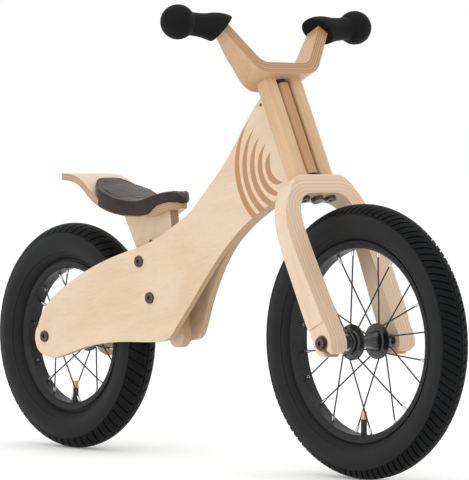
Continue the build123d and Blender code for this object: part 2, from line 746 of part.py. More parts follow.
def grip_core(side, bar):
    """Round dowel that carries the grip beyond the end of the bent strip."""
    start = head_point(CORE_START[1], GRIP_N, side * CORE_START[0])
    end = head_point(CORE_END[1], GRIP_N, side * CORE_END[0])
    run = (end[0] - start[0], end[1] - start[1], end[2] - start[2])
    with BuildPart() as core:
        with BuildSketch(Plane(origin=start, x_dir=AXIS_FORWARD, z_dir=run)):
            Circle(GRIP_CORE_R)
        extrude(amount=sqrt(sum(c * c for c in run)))
        add(bar, mode=Mode.SUBTRACT)
    return core.part


def grip(side, bar, core):
    with BuildPart() as rubber:
        add(grip_solid(side))
        add(bar, mode=Mode.SUBTRACT)
        add(core, mode=Mode.SUBTRACT)
    return rubber.part


def steering_rod():
    """Pivot rod through crown, bushes and handlebar, with a nut below the crown."""
    low = CROWN_TOP_H - CROWN_T
    with BuildPart() as rod:
        with BuildSketch(cross_plane(low)):
            Circle(ROD_R)
        extrude(amount=BAR_LOW_H + BAR_T - ROD_SHORT - low)
        with BuildSketch(cross_plane(low)):
            RegularPolygon(radius=ROD_NUT_R, side_count=6)
        extrude(amount=-ROD_NUT_T)
    return rod.part


def thrust_washers():
    """Spacing rings between crown, post and handlebar."""
    low_t = POST_LOW_H - BUSH_FLANGE_T - SKIN - CROWN_TOP_H
    top_h = POST_TOP_H + BUSH_FLANGE_T + SKIN
    with BuildPart() as rings:
        for h, thickness in ((CROWN_TOP_H, low_t), (top_h, BAR_LOW_H - top_h)):
            with BuildSketch(cross_plane(h)):
                Circle(BUSH_FLANGE_R)
                Circle(ROD_R + TOUCH, mode=Mode.SUBTRACT)
            extrude(amount=thickness)
    return rings.part


bar_part = handlebar()
save(fork(), "fork")
save(strut(-1), "strut_right")
save(strut(1), "strut_left")
save(bar_part, "handlebar")
save(strut_bolts(CROWN_TOP_H - CROWN_T, 1), "crown_bolts")
save(strut_bolts(BAR_LOW_H + BAR_T - STRUT_BOLT_HEAD_T, -1), "bar_bolts")
save(steering_rod(), "steering_rod")
save(thrust_washers(), "thrust_washers")
for grip_side, grip_name in ((-1, "right"), (1, "left")):
    core_part = grip_core(grip_side, bar_part)
    save(grip(grip_side, bar_part, core_part), f"grip_{grip_name}")
    save(core_part, f"grip_core_{grip_name}")

# ---- axles ------------------------------------------------------------------


def axle(centre, half):
    """Plain axle rod, tapped at both ends."""
    with BuildPart() as rod:
        with BuildSketch(across_plane(centre)):
            Circle(AXLE_R)
        extrude(amount=half, both=True)
        for side in (-1, 1):
            with BuildSketch(across_plane(centre, side * half)):
                Circle(AXLE_BOLT_R)
            extrude(amount=side * AXLE_BOLT_LENGTH, mode=Mode.SUBTRACT)
    return rod.part


def axle_bolts(centre, half, seat):
    """A socket head bolt into each end of an axle; seat is where its head bears."""
    with BuildPart() as bolts:
        for side in (-1, 1):
            bolt_head(centre, side * seat, side)
            with BuildSketch(across_plane(centre, side * seat)):
                Circle(AXLE_BOLT_R - TOUCH)
            extrude(amount=side * (seat - half + AXLE_BOLT_LENGTH - TIP_GAP))
    return bolts.part


def axle_sleeves(centre, outer):
    """Spacing sleeves from the hub bearings out to Y = +-outer."""
    start = HUB_HALF + SKIN
    with BuildPart() as sleeves:
        for side in (-1, 1):
            with BuildSketch(across_plane(centre, side * start)):
                Circle(SLEEVE_R)
                Circle(AXLE_R + TOUCH, mode=Mode.SUBTRACT)
            extrude(amount=-side * (outer - start))
    return sleeves.part


def rear_sleeves():
    """The rear pair, their outer ends cut to the toe-in of the boards."""
    with BuildPart() as sleeves:
        add(axle_sleeves(REAR_CENTRE, BOARD_REAR_HALF))
        with BuildSketch(Plane.XY):
            with BuildLine():
                back = REAR_AXLE_X - 50
                ahead = REAR_AXLE_X + 50
                Polyline((back, -board_inner(back)), (ahead, -board_inner(ahead)),
                         (ahead, board_inner(ahead)), (back, board_inner(back)), close=True)
            make_face()
        extrude(amount=FRONT_WHEEL_R * 3, mode=Mode.INTERSECT)
    return sleeves.part


def axle_washers():
    with BuildPart() as washers:
        for side in (-1, 1):
            with BuildSketch(across_plane(FRONT_CENTRE, side * LEG_OUTER_AT_AXLE)):
                Circle(WASHER_R)
                Circle(AXLE_BOLT_R, mode=Mode.SUBTRACT)
            extrude(amount=-side * WASHER_T)
    return washers.part


FRONT_AXLE_HALF = LEG_OUTER_AT_AXLE - AXLE_SHORT
REAR_SEAT = BOARD_REAR_HALF - HEAD_RECESS
REAR_AXLE_HALF = REAR_SEAT - AXLE_SHORT
save(axle(FRONT_CENTRE, FRONT_AXLE_HALF), "front_axle")
save(axle_bolts(FRONT_CENTRE, FRONT_AXLE_HALF, LEG_OUTER_AT_AXLE + WASHER_T),
     "front_axle_bolts")
save(axle_washers(), "front_axle_washers")
save(axle_sleeves(FRONT_CENTRE, LEG_INNER_AT_AXLE), "front_axle_sleeves")
save(axle(REAR_CENTRE, REAR_AXLE_HALF), "rear_axle")
save(axle_bolts(REAR_CENTRE, REAR_AXLE_HALF, REAR_SEAT), "rear_axle_bolts")
save(rear_sleeves(), "rear_axle_sleeves")

# ---- wheels -----------------------------------------------------------------
TYRE_WALL = 3.0
BEAD_DROP = 1.6
# hub outline outboard of the flange and between the flanges: (Y, radius)
HUB_CAP = [(HUB_HALF, 13.4), (25, 15), (23.5, 16)]
HUB_WAIST = [(FLANGE_Y, 13.5), (15, 11.5), (8, 8.8), (0, 8.0)]
BEAD_INNER_Y = 7.5
BEAD_OUTER_Y = 10.6


def spin(centre):
    revolve(axis=Axis(centre, (0, 1, 0)), revolution_arc=360)


def tyre(centre, wheel_r, bead_r, section_r):
    """Hollow tyre open to the rim, with a foot on each bead."""
    mid = wheel_r - section_r
    inner = section_r - TYRE_WALL
    foot_top = mid - sqrt(inner ** 2 - BEAD_INNER_Y ** 2)
    foot_low = bead_r - BEAD_DROP
    with BuildPart() as carcass:
        with BuildSketch(turning_plane(centre)):
            with Locations((0, mid)):
                Circle(section_r)
                Circle(inner, mode=Mode.SUBTRACT)
            with Locations((0, mid - section_r)):
                Rectangle(2 * BEAD_INNER_Y, section_r, mode=Mode.SUBTRACT)
            for side in (-1, 1):
                with Locations((side * (BEAD_INNER_Y + BEAD_OUTER_Y) / 2,
                                (foot_top + foot_low) / 2)):
                    Rectangle(BEAD_OUTER_Y - BEAD_INNER_Y, foot_top - foot_low)
        spin(centre)
    return carcass.part


def tube(centre, wheel_r, section_r):
    """Inflated inner tube inside the tyre."""
    with BuildPart() as ring:
        with BuildSketch(turning_plane(centre)):
            with Locations((0, wheel_r - section_r)):
                Circle(section_r - TYRE_WALL - SKIN)
        spin(centre)
    return ring.part


def rim(centre, bead_r):
    """Aluminium rim with hooked walls and a well, drilled for the valve."""
    wall = RIM_HALF - RIM_WALL
    flange_top = bead_r + RIM_LIP
    shelf = bead_r - BEAD_DROP - SKIN
    well = bead_r - RIM_WELL_DROP
    inner = rim_inner(bead_r)
    half = [(0, well), (RIM_WELL_HALF, well), (RIM_SHELF_Y, shelf), (wall, shelf),
            (wall, flange_top), (RIM_HALF, flange_top), (RIM_HALF, inner + RIM_HALF - RIM_BED_HALF),
            (RIM_BED_HALF, inner), (0, inner)]
    with BuildPart() as ring:
        with BuildSketch(turning_plane(centre)):
            with BuildLine():
                Polyline(*half, close=True)
            make_face()
            mirror(about=Plane.YZ)
        spin(centre)
        with BuildSketch(Plane(origin=(centre[0], 0, centre[2] - bead_r))):
            Circle(VALVE_R + SKIN)
        extrude(amount=2 * RIM_DEPTH, mode=Mode.SUBTRACT)
    return ring.part


def rim_inner(bead_r):
    return bead_r - RIM_DEPTH


def hub_shell(centre):
    """Waisted barrel with a flange and a bearing seat at each end."""
    seat = HUB_HALF - BEARING_W
    half = [(0, HUB_BORE_R), (seat, HUB_BORE_R), (seat, BEARING_R + TOUCH),
            (HUB_HALF, BEARING_R + TOUCH), *HUB_CAP, (FLANGE_Y + FLANGE_T, FLANGE_R),
            (FLANGE_Y, FLANGE_R), *HUB_WAIST]
    with BuildPart() as shell:
        with BuildSketch(turning_plane(centre)):
            with BuildLine():
                Polyline(*half, close=True)
            make_face()
            mirror(about=Plane.YZ)
        spin(centre)
    return shell.part


def bearings(centre):
    with BuildPart() as races:
        for side in (-1, 1):
            with BuildSketch(across_plane(centre, side * HUB_HALF)):
                Circle(BEARING_R)
                Circle(AXLE_R + TOUCH, mode=Mode.SUBTRACT)
            extrude(amount=side * (BEARING_W - TOUCH))
    return races.part


def spoke_line(centre, bead_r, i):
    """Root and rim end of spoke i, laced almost radially to alternate flanges."""
    side = 1 if i % 2 else -1
    angle = radians(90 + (i + 0.5) * 360 / SPOKES)
    root_y = side * (FLANGE_Y + FLANGE_T + SPOKE_R + SPOKE_PROUD)
    tip_r = rim_inner(bead_r) - SKIN
    root_angle = angle + side * radians(SPOKE_TWIST)
    root = Vector(centre[0] + cos(root_angle) * SPOKE_ROOT_R, root_y,
                  centre[2] + sin(root_angle) * SPOKE_ROOT_R)
    tip = Vector(centre[0] + cos(angle) * tip_r, side * SPOKE_RIM_Y,
                 centre[2] + sin(angle) * tip_r)
    return root, tip


def spokes(centre, bead_r):
    with BuildPart() as wires:
        for i in range(SPOKES):
            root, tip = spoke_line(centre, bead_r, i)
            run = tip - root
            with BuildSketch(Plane(origin=root, z_dir=run)):
                Circle(SPOKE_R)
            extrude(amount=run.length - NIPPLE_L - SKIN)
    return wires.part


def nipples(centre, bead_r):
    with BuildPart() as ends:
        for i in range(SPOKES):
            root, tip = spoke_line(centre, bead_r, i)
            run = (tip - root).normalized()
            with BuildSketch(Plane(origin=tip - run * SKIN, z_dir=run)):
                Circle(NIPPLE_R)
            extrude(amount=-NIPPLE_L)
    return ends.part


def valve_stem(centre, bead_r):
    low = centre[2] - bead_r + RIM_LIP
    top = centre[2] - rim_inner(bead_r) + VALVE_L
    with BuildPart() as stem:
        with BuildSketch(Plane(origin=(centre[0], 0, low))):
            Circle(VALVE_R)
        extrude(amount=top - low)
    return stem.part


def valve_cap(centre, bead_r):
    with BuildPart() as cap:
        with BuildSketch(Plane(origin=(centre[0], 0, centre[2] - rim_inner(bead_r) + VALVE_L))):
            Circle(CAP_R)
        extrude(amount=CAP_L)
    return cap.part


for name, centre, wheel_r, bead_r, section_r in (
        ("front", FRONT_CENTRE, FRONT_WHEEL_R, FRONT_BEAD_R, FRONT_TYRE_SECTION_R),
        ("rear", REAR_CENTRE, REAR_WHEEL_R, REAR_BEAD_R, REAR_TYRE_SECTION_R)):
    save(tyre(centre, wheel_r, bead_r, section_r), f"{name}_tyre")
    save(tube(centre, wheel_r, section_r), f"{name}_tube")
    save(rim(centre, bead_r), f"{name}_rim")
    save(hub_shell(centre), f"{name}_hub")
    save(bearings(centre), f"{name}_bearings")
    save(spokes(centre, bead_r), f"{name}_spokes")
    save(nipples(centre, bead_r), f"{name}_nipples")
    save(valve_stem(centre, bead_r), f"{name}_valve_stem")
    save(valve_cap(centre, bead_r), f"{name}_valve_cap")
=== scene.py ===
"""Looks of a child's wooden balance bike: bent plywood, leather, rubber and spoked wheels."""
import json
from math import atan2, cos, degrees, exp, pi, radians, sin, sqrt, tanh

import bpy
from mathutils import Matrix, Vector
from mathutils.kdtree import KDTree
from mathutils.noise import fractal


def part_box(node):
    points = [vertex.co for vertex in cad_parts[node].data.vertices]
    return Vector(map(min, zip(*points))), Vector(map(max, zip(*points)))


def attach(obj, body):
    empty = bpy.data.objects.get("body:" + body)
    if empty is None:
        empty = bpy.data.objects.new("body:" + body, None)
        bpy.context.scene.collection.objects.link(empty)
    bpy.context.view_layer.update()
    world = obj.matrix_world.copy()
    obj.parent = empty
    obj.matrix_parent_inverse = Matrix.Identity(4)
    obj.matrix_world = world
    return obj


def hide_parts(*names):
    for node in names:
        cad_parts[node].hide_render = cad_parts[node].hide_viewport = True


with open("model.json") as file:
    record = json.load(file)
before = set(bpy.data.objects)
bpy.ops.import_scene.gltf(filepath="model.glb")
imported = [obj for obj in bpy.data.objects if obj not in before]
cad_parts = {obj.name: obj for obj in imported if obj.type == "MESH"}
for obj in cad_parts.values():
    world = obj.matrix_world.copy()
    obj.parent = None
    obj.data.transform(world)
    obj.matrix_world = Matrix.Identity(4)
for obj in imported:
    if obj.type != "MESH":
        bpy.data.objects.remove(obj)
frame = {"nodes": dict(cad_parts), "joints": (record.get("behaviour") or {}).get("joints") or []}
bpy.ops.object.select_all(action="DESELECT")
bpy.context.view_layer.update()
nodes = frame["nodes"]
joints = {joint["name"]: joint for joint in frame["joints"]}

# ---- side boards ------------------------------------------------------------
# Two boards of thin birch plywood, bent so that they lie face to face at the head and
# stand apart over the rear wheel. Pale rotary-cut faces, brown plies on the sawn edges,
# satin varnish, and a plain engraved set of growth rings beside the head.
BOARD_PLY = 0.00136
BOARD_OUTER = [(-0.350, 0.0613), (-0.200, 0.0454), (-0.072, 0.0318), (-0.054, 0.0283), (-0.038, 0.0220),
               (-0.020, 0.0170), (0.000, 0.0127), (0.022, 0.0102), (0.045, 0.0095), (0.150, 0.0095)]
RING_CENTRE = (0.128, 0.0, 0.398)
RING_FIRST_R = 0.016
RING_PITCH = 0.0150
RING_COUNT = 5
RING_BACK = (-0.86, -0.51)
RING_WIDTH = 0.34
OUTER_VENEER = 0.002
VARNISH = (0.18, 0.30)
BIRCH_PALE = (0.720, 0.560, 0.400, 1)
BIRCH_WARM = (0.650, 0.475, 0.305, 1)
PLY_LIGHT = (0.560, 0.375, 0.205, 1)
PLY_DARK = (0.360, 0.205, 0.095, 1)
ENGRAVED = (0.440, 0.215, 0.085, 1)


def add_node(tree, kind, inputs=None, **settings):
    """A shader node with its settings, its inputs set to values or joined to other sockets."""
    node = tree.nodes.new("ShaderNode" + kind)
    for name, value in settings.items():
        setattr(node, name, value)
    for name, value in (inputs or {}).items():
        if isinstance(value, bpy.types.NodeSocket):
            tree.links.new(value, node.inputs[name])
        else:
            node.inputs[name].default_value = value
    return node


def math(tree, operation, *values, clamp=False):
    inputs = dict(enumerate(values))
    return add_node(tree, "Math", inputs, operation=operation, use_clamp=clamp).outputs[0]


def mix(tree, factor, a, b):
    """Colour a where the factor is 0, colour b where it is 1."""
    return add_node(tree, "Mix", {0: factor, 6: a, 7: b}, data_type="RGBA").outputs[2]


def ramp(tree, value, low, high):
    """0 below low, 1 above high and smooth between."""
    inputs = {"Value": value, "From Min": low, "From Max": high}
    return add_node(tree, "MapRange", inputs, interpolation_type="SMOOTHSTEP").outputs[0]


def dot(tree, a, b):
    return add_node(tree, "VectorMath", {0: a, 1: b}, operation="DOT_PRODUCT").outputs["Value"]


def noise(tree, vector, scale, detail=3.0, roughness=0.5, distortion=0.0):
    inputs = {"Vector": vector, "Scale": scale, "Detail": detail, "Roughness": roughness,
              "Distortion": distortion}
    return add_node(tree, "TexNoise", inputs).outputs["Fac"]


def shader_group(name, inputs, outputs):
    """An empty shader group with named sockets; gives the group, its inputs and its output node."""
    group = bpy.data.node_groups.new(name, "ShaderNodeTree")
    for label, value in inputs.items():
        kind = "Float" if isinstance(value, float) else "Vector" if len(value) == 3 else "Color"
        socket = group.interface.new_socket(label, in_out="INPUT", socket_type="NodeSocket" + kind)
        socket.default_value = value
    for label, kind in outputs.items():
        group.interface.new_socket(label, in_out="OUTPUT", socket_type="NodeSocket" + kind)
    return group, group.nodes.new("NodeGroupInput").outputs, group.nodes.new("NodeGroupOutput")


def place_group(tree, group, inputs):
    node = add_node(tree, "Group", node_tree=group)
    for name, value in inputs.items():
        if isinstance(value, bpy.types.NodeSocket):
            tree.links.new(value, node.inputs[name])
        else:
            node.inputs[name].default_value = value
    return node.outputs


def veneer_grain_group():
    """Birch veneer with the grain along X: soft figure, long grain and short dark pores."""
    group, given, out = shader_group(
        "veneer grain",
        {"Vector": (0.0, 0.0, 0.0), "Pale": BIRCH_PALE, "Warm": BIRCH_WARM, "Strength": 1.0},
        {"Color": "Color", "Height": "Float", "Roughness": "Float"})

    def stretched(along, across):
        inputs = {"Vector": given["Vector"], "Scale": (along, across, across)}
        return add_node(group, "Mapping", inputs).outputs[0]

    figure = noise(group, stretched(5, 22), 1.0, 3, 0.55, 0.9)
    grain = noise(group, stretched(14, 420), 1.0, 4, 0.6, 0.2)
    fibre = noise(group, stretched(90, 2600), 1.0, 2, 0.5)
    pores = ramp(group, noise(group, stretched(60, 900), 1.0, 1, 0.4), 0.69, 0.76)
    warm = math(group, "MULTIPLY", ramp(group, figure, 0.38, 0.68), 0.65)
    warm = math(group, "ADD", warm, math(group, "MULTIPLY", ramp(group, grain, 0.45, 0.70), 0.45))
    warm = math(group, "MULTIPLY", warm, given["Strength"], clamp=True)
    veneer = mix(group, warm, given["Pale"], given["Warm"])
    dark = add_node(group, "HueSaturation", {"Color": given["Warm"], "Value": 0.66}).outputs[0]
    pore_share = math(group, "MULTIPLY", pores, 0.35)
    group.links.new(mix(group, pore_share, veneer, dark), out.inputs["Color"])
    height = math(group, "SUBTRACT", math(group, "MULTIPLY", fibre, 0.5), pore_share)
    group.links.new(height, out.inputs["Height"])
    group.links.new(math(group, "MULTIPLY_ADD", grain, 0.12, 0.40), out.inputs["Roughness"])
    return group


def ply_edge_group():
    """Sawn plywood edge: plies in turn light and dark, with a thin glue line between them."""
    group, given, out = shader_group(
        "ply edge",
        {"Depth": 0.0, "Ply": BOARD_PLY, "Vector": (0.0, 0.0, 0.0), "Light": PLY_LIGHT,
         "Dark": PLY_DARK, "Glue": 0.7},
        {"Color": "Color", "Height": "Float"})
    wander = math(group, "MULTIPLY_ADD", noise(group, given["Vector"], 35.0, 2), 0.30, -0.15)
    layers = math(group, "ADD", math(group, "DIVIDE", given["Depth"], given["Ply"]), wander)
    number = math(group, "FLOOR", layers)
    within = math(group, "FRACT", layers)
    odd = math(group, "PINGPONG", number, 1.0)
    tint = add_node(group, "TexWhiteNoise", {"W": number}, noise_dimensions="1D").outputs["Value"]
    streaks = noise(group, given["Vector"], 900.0, 2, 0.6)
    share = math(group, "ADD", math(group, "MULTIPLY", odd, 0.55), math(group, "MULTIPLY", tint, 0.30))
    share = math(group, "ADD", share, math(group, "MULTIPLY", streaks, 0.22), clamp=True)
    plies = mix(group, share, given["Light"], given["Dark"])
    glue = math(group, "SUBTRACT", 1.0, ramp(group, within, 0.04, 0.16))
    line = add_node(group, "HueSaturation", {"Color": given["Dark"], "Value": 0.55}).outputs[0]
    glued = math(group, "MULTIPLY", glue, given["Glue"])
    group.links.new(mix(group, glued, plies, line), out.inputs["Color"])
    height = math(group, "SUBTRACT", math(group, "MULTIPLY", streaks, 0.4), glue)
    group.links.new(height, out.inputs["Height"])
    return group


veneer_grain = veneer_grain_group()
ply_edge = ply_edge_group()


def new_material(name):
    """A material with its tree, its Principled shader and the piece's own place and normal."""
    material = bpy.data.materials.new(name)
    material.use_nodes = True
    tree = material.node_tree
    shader = tree.nodes["Principled BSDF"]
    own = tree.nodes.new("ShaderNodeTexCoord").outputs
    return material, tree, shader, own


def bump(tree, shader, height, strength, distance):
    inputs = {"Height": height, "Strength": strength, "Distance": distance}
    tree.links.new(add_node(tree, "Bump", inputs).outputs[0], shader.inputs["Normal"])


def varnish(shader, weight, roughness):
    shader.inputs["Coat Weight"].default_value = weight
    shader.inputs["Coat Roughness"].default_value = roughness


def along(tree, vector, turn):
    """The place turned about Y, so that X runs with the grain."""
    return add_node(tree, "Mapping", {"Vector": vector, "Rotation": (0, turn, 0)}).outputs[0]


def give(material, *names):
    for name in names:
        for material_slot in nodes[name].material_slots:
            material_slot.material = material


def height_along(tree, x, outline, base):
    """The height, at this x, of a smooth line through the outline's (x, height) points."""
    first, last = outline[0][0], outline[-1][0]
    rise = max(height for _, height in outline) - base
    share = add_node(tree, "MapRange", {"Value": x, "From Min": first, "From Max": last})
    curve = add_node(tree, "FloatCurve", {"Value": share.outputs[0]})
    points = curve.mapping.curves[0].points
    for place, height in outline[1:-1]:
        points.new((place - first) / (last - first), (height - base) / rise)
    points[0].location = (0, (outline[0][1] - base) / rise)
    points[len(points) - 1].location = (1, (outline[-1][1] - base) / rise)
    curve.mapping.update()
    return math(tree, "MULTIPLY_ADD", curve.outputs[0], rise, base)


def growth_rings(tree, place):
    """Mask of engraved arcs, widest behind their centre and tapering to nothing."""
    from_centre = add_node(tree, "VectorMath", {0: place, 1: RING_CENTRE}, operation="SUBTRACT").outputs[0]
    axes = add_node(tree, "SeparateXYZ", {0: from_centre}).outputs
    radius = math(tree, "SQRT", math(tree, "ADD", math(tree, "MULTIPLY", axes["X"], axes["X"]),
                                     math(tree, "MULTIPLY", axes["Z"], axes["Z"])))
    back = math(tree, "DIVIDE", math(tree, "MULTIPLY_ADD", axes["X"], RING_BACK[0],
                                     math(tree, "MULTIPLY", axes["Z"], RING_BACK[1])), radius)
    rings = math(tree, "DIVIDE", math(tree, "SUBTRACT", radius, RING_FIRST_R), RING_PITCH)
    off_line = math(tree, "ABSOLUTE", math(tree, "SUBTRACT", math(tree, "FRACT", rings), 0.5))
    half_width = math(tree, "MULTIPLY", ramp(tree, back, 0.10, 1.0), RING_WIDTH)
    mask = ramp(tree, math(tree, "SUBTRACT", half_width, off_line), 0.0, 0.05)
    inside = math(tree, "MULTIPLY", math(tree, "GREATER_THAN", rings, 0.0),
                  math(tree, "LESS_THAN", rings, float(RING_COUNT)))
    return math(tree, "MULTIPLY", mask, inside)


def side_board_birch():
    material, tree, shader, own = new_material("side board birch")
    place = add_node(tree, "SeparateXYZ", {0: own["Object"]}).outputs
    facing = add_node(tree, "SeparateXYZ", {0: own["Normal"]}).outputs
    across = math(tree, "ABSOLUTE", place["Y"])
    depth = math(tree, "SUBTRACT", height_along(tree, place["X"], BOARD_OUTER, 0.0), across)
    face = ramp(tree, math(tree, "ABSOLUTE", facing["Y"]), 0.60, 0.72)
    veneer = place_group(tree, veneer_grain, {"Vector": along(tree, own["Object"], radians(14))})
    edge = place_group(tree, ply_edge, {"Depth": depth, "Vector": own["Object"]})
    outside = math(tree, "LESS_THAN", depth, OUTER_VENEER)
    rings = math(tree, "MULTIPLY", growth_rings(tree, own["Object"]), outside)
    burnt = mix(tree, rings, veneer["Color"], ENGRAVED)
    tree.links.new(mix(tree, face, edge["Color"], burnt), shader.inputs["Base Color"])
    tree.links.new(veneer["Roughness"], shader.inputs["Roughness"])
    varnish(shader, *VARNISH)
    relief = math(tree, "SUBTRACT", veneer["Height"], math(tree, "MULTIPLY", rings, 3.0))
    bump(tree, shader, relief, 0.25, 0.0002)
    return material


give(side_board_birch(), "frame_panel_right", "frame_panel_left")

# ---- head post and saddle post ----------------------------------------------
# The round-nosed beech post between the struts has its grain up the steering axis. The
# saddle post is one straight blade of plywood whose plies show on its narrow edges.
HONEY = (0.500, 0.290, 0.140, 1)
HONEY_DARK = (0.390, 0.210, 0.090, 1)
BLADE_PLY = 0.00144
UPRIGHT_LAYER = 0.0046
pivot = joints["steering_pivot"]
AXIS_UP = Vector(pivot["axis"]).normalized()
AXIS_FORWARD = Vector((AXIS_UP.z, 0, -AXIS_UP.x))
AXLE_POINT = Vector(pivot["pos_m"])


def head_frame_group():
    """Turns a place or a normal into (forward of, left of, up) the steering axis."""
    group, given, out = shader_group(
        "head frame", {"Vector": (0.0, 0.0, 0.0), "From": (0.0, 0.0, 0.0)}, {"Vector": "Vector"})
    moved = add_node(group, "VectorMath", {0: given["Vector"], 1: given["From"]},
                     operation="SUBTRACT").outputs[0]
    inputs = {"X": dot(group, moved, tuple(AXIS_FORWARD)), "Y": dot(group, moved, (0, 1, 0)),
              "Z": dot(group, moved, tuple(AXIS_UP))}
    group.links.new(add_node(group, "CombineXYZ", inputs).outputs[0], out.inputs["Vector"])
    return group


head_frame = head_frame_group()


def upright_wood(name, pale, warm, layer_share):
    """Wood glued up in upright layers, with its grain up the steering axis."""
    material, tree, shader, own = new_material(name)
    place = place_group(tree, head_frame, {"Vector": own["Object"], "From": tuple(AXLE_POINT)})[0]
    grain = along(tree, place, radians(90))
    veneer = place_group(tree, veneer_grain, {"Vector": grain, "Pale": pale, "Warm": warm, "Strength": 1.5})
    across = add_node(tree, "SeparateXYZ", {0: place}).outputs["Y"]
    layers = place_group(tree, ply_edge, {"Depth": math(tree, "ADD", across, 0.1), "Ply": UPRIGHT_LAYER,
                                          "Vector": own["Object"], "Light": pale, "Dark": warm, "Glue": 0.5})
    wood = mix(tree, layer_share, veneer["Color"], layers["Color"])
    tree.links.new(wood, shader.inputs["Base Color"])
    tree.links.new(veneer["Roughness"], shader.inputs["Roughness"])
    varnish(shader, *VARNISH)
    bump(tree, shader, veneer["Height"], 0.3, 0.0002)
    return material


def saddle_post_birch():
    material, tree, shader, own = new_material("saddle post birch")
    place = add_node(tree, "SeparateXYZ", {0: own["Object"]}).outputs
    facing = add_node(tree, "SeparateXYZ", {0: own["Normal"]}).outputs
    face = ramp(tree, math(tree, "ABSOLUTE", facing["Y"]), 0.60, 0.72)
    grain = along(tree, own["Object"], radians(62))
    veneer = place_group(tree, veneer_grain, {"Vector": grain})
    depth = math(tree, "ADD", place["Y"], BLADE_PLY * 5)
    edge = place_group(tree, ply_edge, {"Depth": depth, "Ply": BLADE_PLY, "Vector": own["Object"]})
    tree.links.new(mix(tree, face, edge["Color"], veneer["Color"]), shader.inputs["Base Color"])
    tree.links.new(veneer["Roughness"], shader.inputs["Roughness"])
    varnish(shader, *VARNISH)
    bump(tree, shader, veneer["Height"], 0.25, 0.0002)
    return material


give(upright_wood("head post beech", HONEY, HONEY_DARK, 0.6), "head_post")
give(saddle_post_birch(), "seat_post")

# ---- saddle shell -----------------------------------------------------------
# A bent plywood seat, swept up at the tail, screwed down on the saddle post. Its top is
# pale veneer and its plies run along the whole edge.
SHELL_PLY = 0.00136
SHELL_UNDER = [(-0.294, 0.3710), (-0.256, 0.3685), (-0.236, 0.3595), (-0.211, 0.3430), (-0.190, 0.3335),
               (-0.170, 0.3275), (-0.150, 0.3245), (-0.130, 0.3240), (-0.114, 0.3270), (-0.070, 0.3365)]
SHELL_BASE = min(height for _, height in SHELL_UNDER) - 0.002


def saddle_shell_birch():
    material, tree, shader, own = new_material("saddle shell birch")
    place = add_node(tree, "SeparateXYZ", {0: own["Object"]}).outputs
    facing = add_node(tree, "SeparateXYZ", {0: own["Normal"]}).outputs
    under = height_along(tree, place["X"], SHELL_UNDER, SHELL_BASE)
    depth = math(tree, "SUBTRACT", place["Z"], under)
    face = ramp(tree, math(tree, "ABSOLUTE", facing["Z"]), 0.35, 0.50)
    veneer = place_group(tree, veneer_grain, {"Vector": own["Object"]})
    edge = place_group(tree, ply_edge, {"Depth": depth, "Ply": SHELL_PLY, "Vector": own["Object"]})
    tree.links.new(mix(tree, face, edge["Color"], veneer["Color"]), shader.inputs["Base Color"])
    tree.links.new(veneer["Roughness"], shader.inputs["Roughness"])
    varnish(shader, *VARNISH)
    bump(tree, shader, veneer["Height"], 0.25, 0.0002)
    return material


give(saddle_shell_birch(), "saddle_shell")

# ---- fork, struts and handlebar ---------------------------------------------
# The fork is a laminated arch: veneer wraps its outside and its plies run round its front
# and back. Two straight round-cornered struts carry the bar, a flat laminated strip bent up
# at both ends, with its plies on the front and back edges.
FORK_HALF = 0.080
FORK_CORNER = 0.052
CROWN_TOP = 0.228
LEG_TAPER_FROM = 0.110
LEG_TAPER = 0.060
FORK_PLY = 0.0024
BAR_LOW = 0.370
BAR_CORNER = 0.0483
BAR_ARM_ANGLE = radians(54.4)
BAR_BEND = 0.016
BAR_PLY = 0.0015
STRUT_PALE = (0.630, 0.430, 0.250, 1)
STRUT_WARM = (0.520, 0.325, 0.165, 1)
FORK_LIGHT = (0.735, 0.555, 0.395, 1)
FORK_DARK = (0.620, 0.430, 0.275, 1)
BAR_PALE = (0.580, 0.375, 0.220, 1)
BAR_WARM = (0.500, 0.300, 0.155, 1)
BAR_LIGHT = (0.560, 0.345, 0.180, 1)
BAR_DARK = (0.310, 0.155, 0.065, 1)


def bent_laminate(name, layer_depth, ply, colours, on_edge, glue):
    """Veneered strip whose depth below its outer face comes from layer_depth(tree, place)."""
    pale, warm, light, dark = colours
    material, tree, shader, own = new_material(name)
    place = place_group(tree, head_frame, {"Vector": own["Object"], "From": tuple(AXLE_POINT)})[0]
    facing = place_group(tree, head_frame, {"Vector": own["Normal"]})[0]
    parts = add_node(tree, "SeparateXYZ", {0: place}).outputs
    facing_parts = add_node(tree, "SeparateXYZ", {0: facing}).outputs
    depth = layer_depth(tree, parts)
    edge_share = on_edge(tree, facing_parts)
    veneer = place_group(tree, veneer_grain, {"Vector": along(tree, place, radians(90)), "Pale": pale,
                                              "Warm": warm})
    edge = place_group(tree, ply_edge, {"Depth": depth, "Ply": ply, "Vector": own["Object"],
                                        "Light": light, "Dark": dark, "Glue": glue})
    tree.links.new(mix(tree, edge_share, veneer["Color"], edge["Color"]), shader.inputs["Base Color"])
    tree.links.new(veneer["Roughness"], shader.inputs["Roughness"])
    varnish(shader, *VARNISH)
    bump(tree, shader, veneer["Height"], 0.25, 0.0002)
    return material


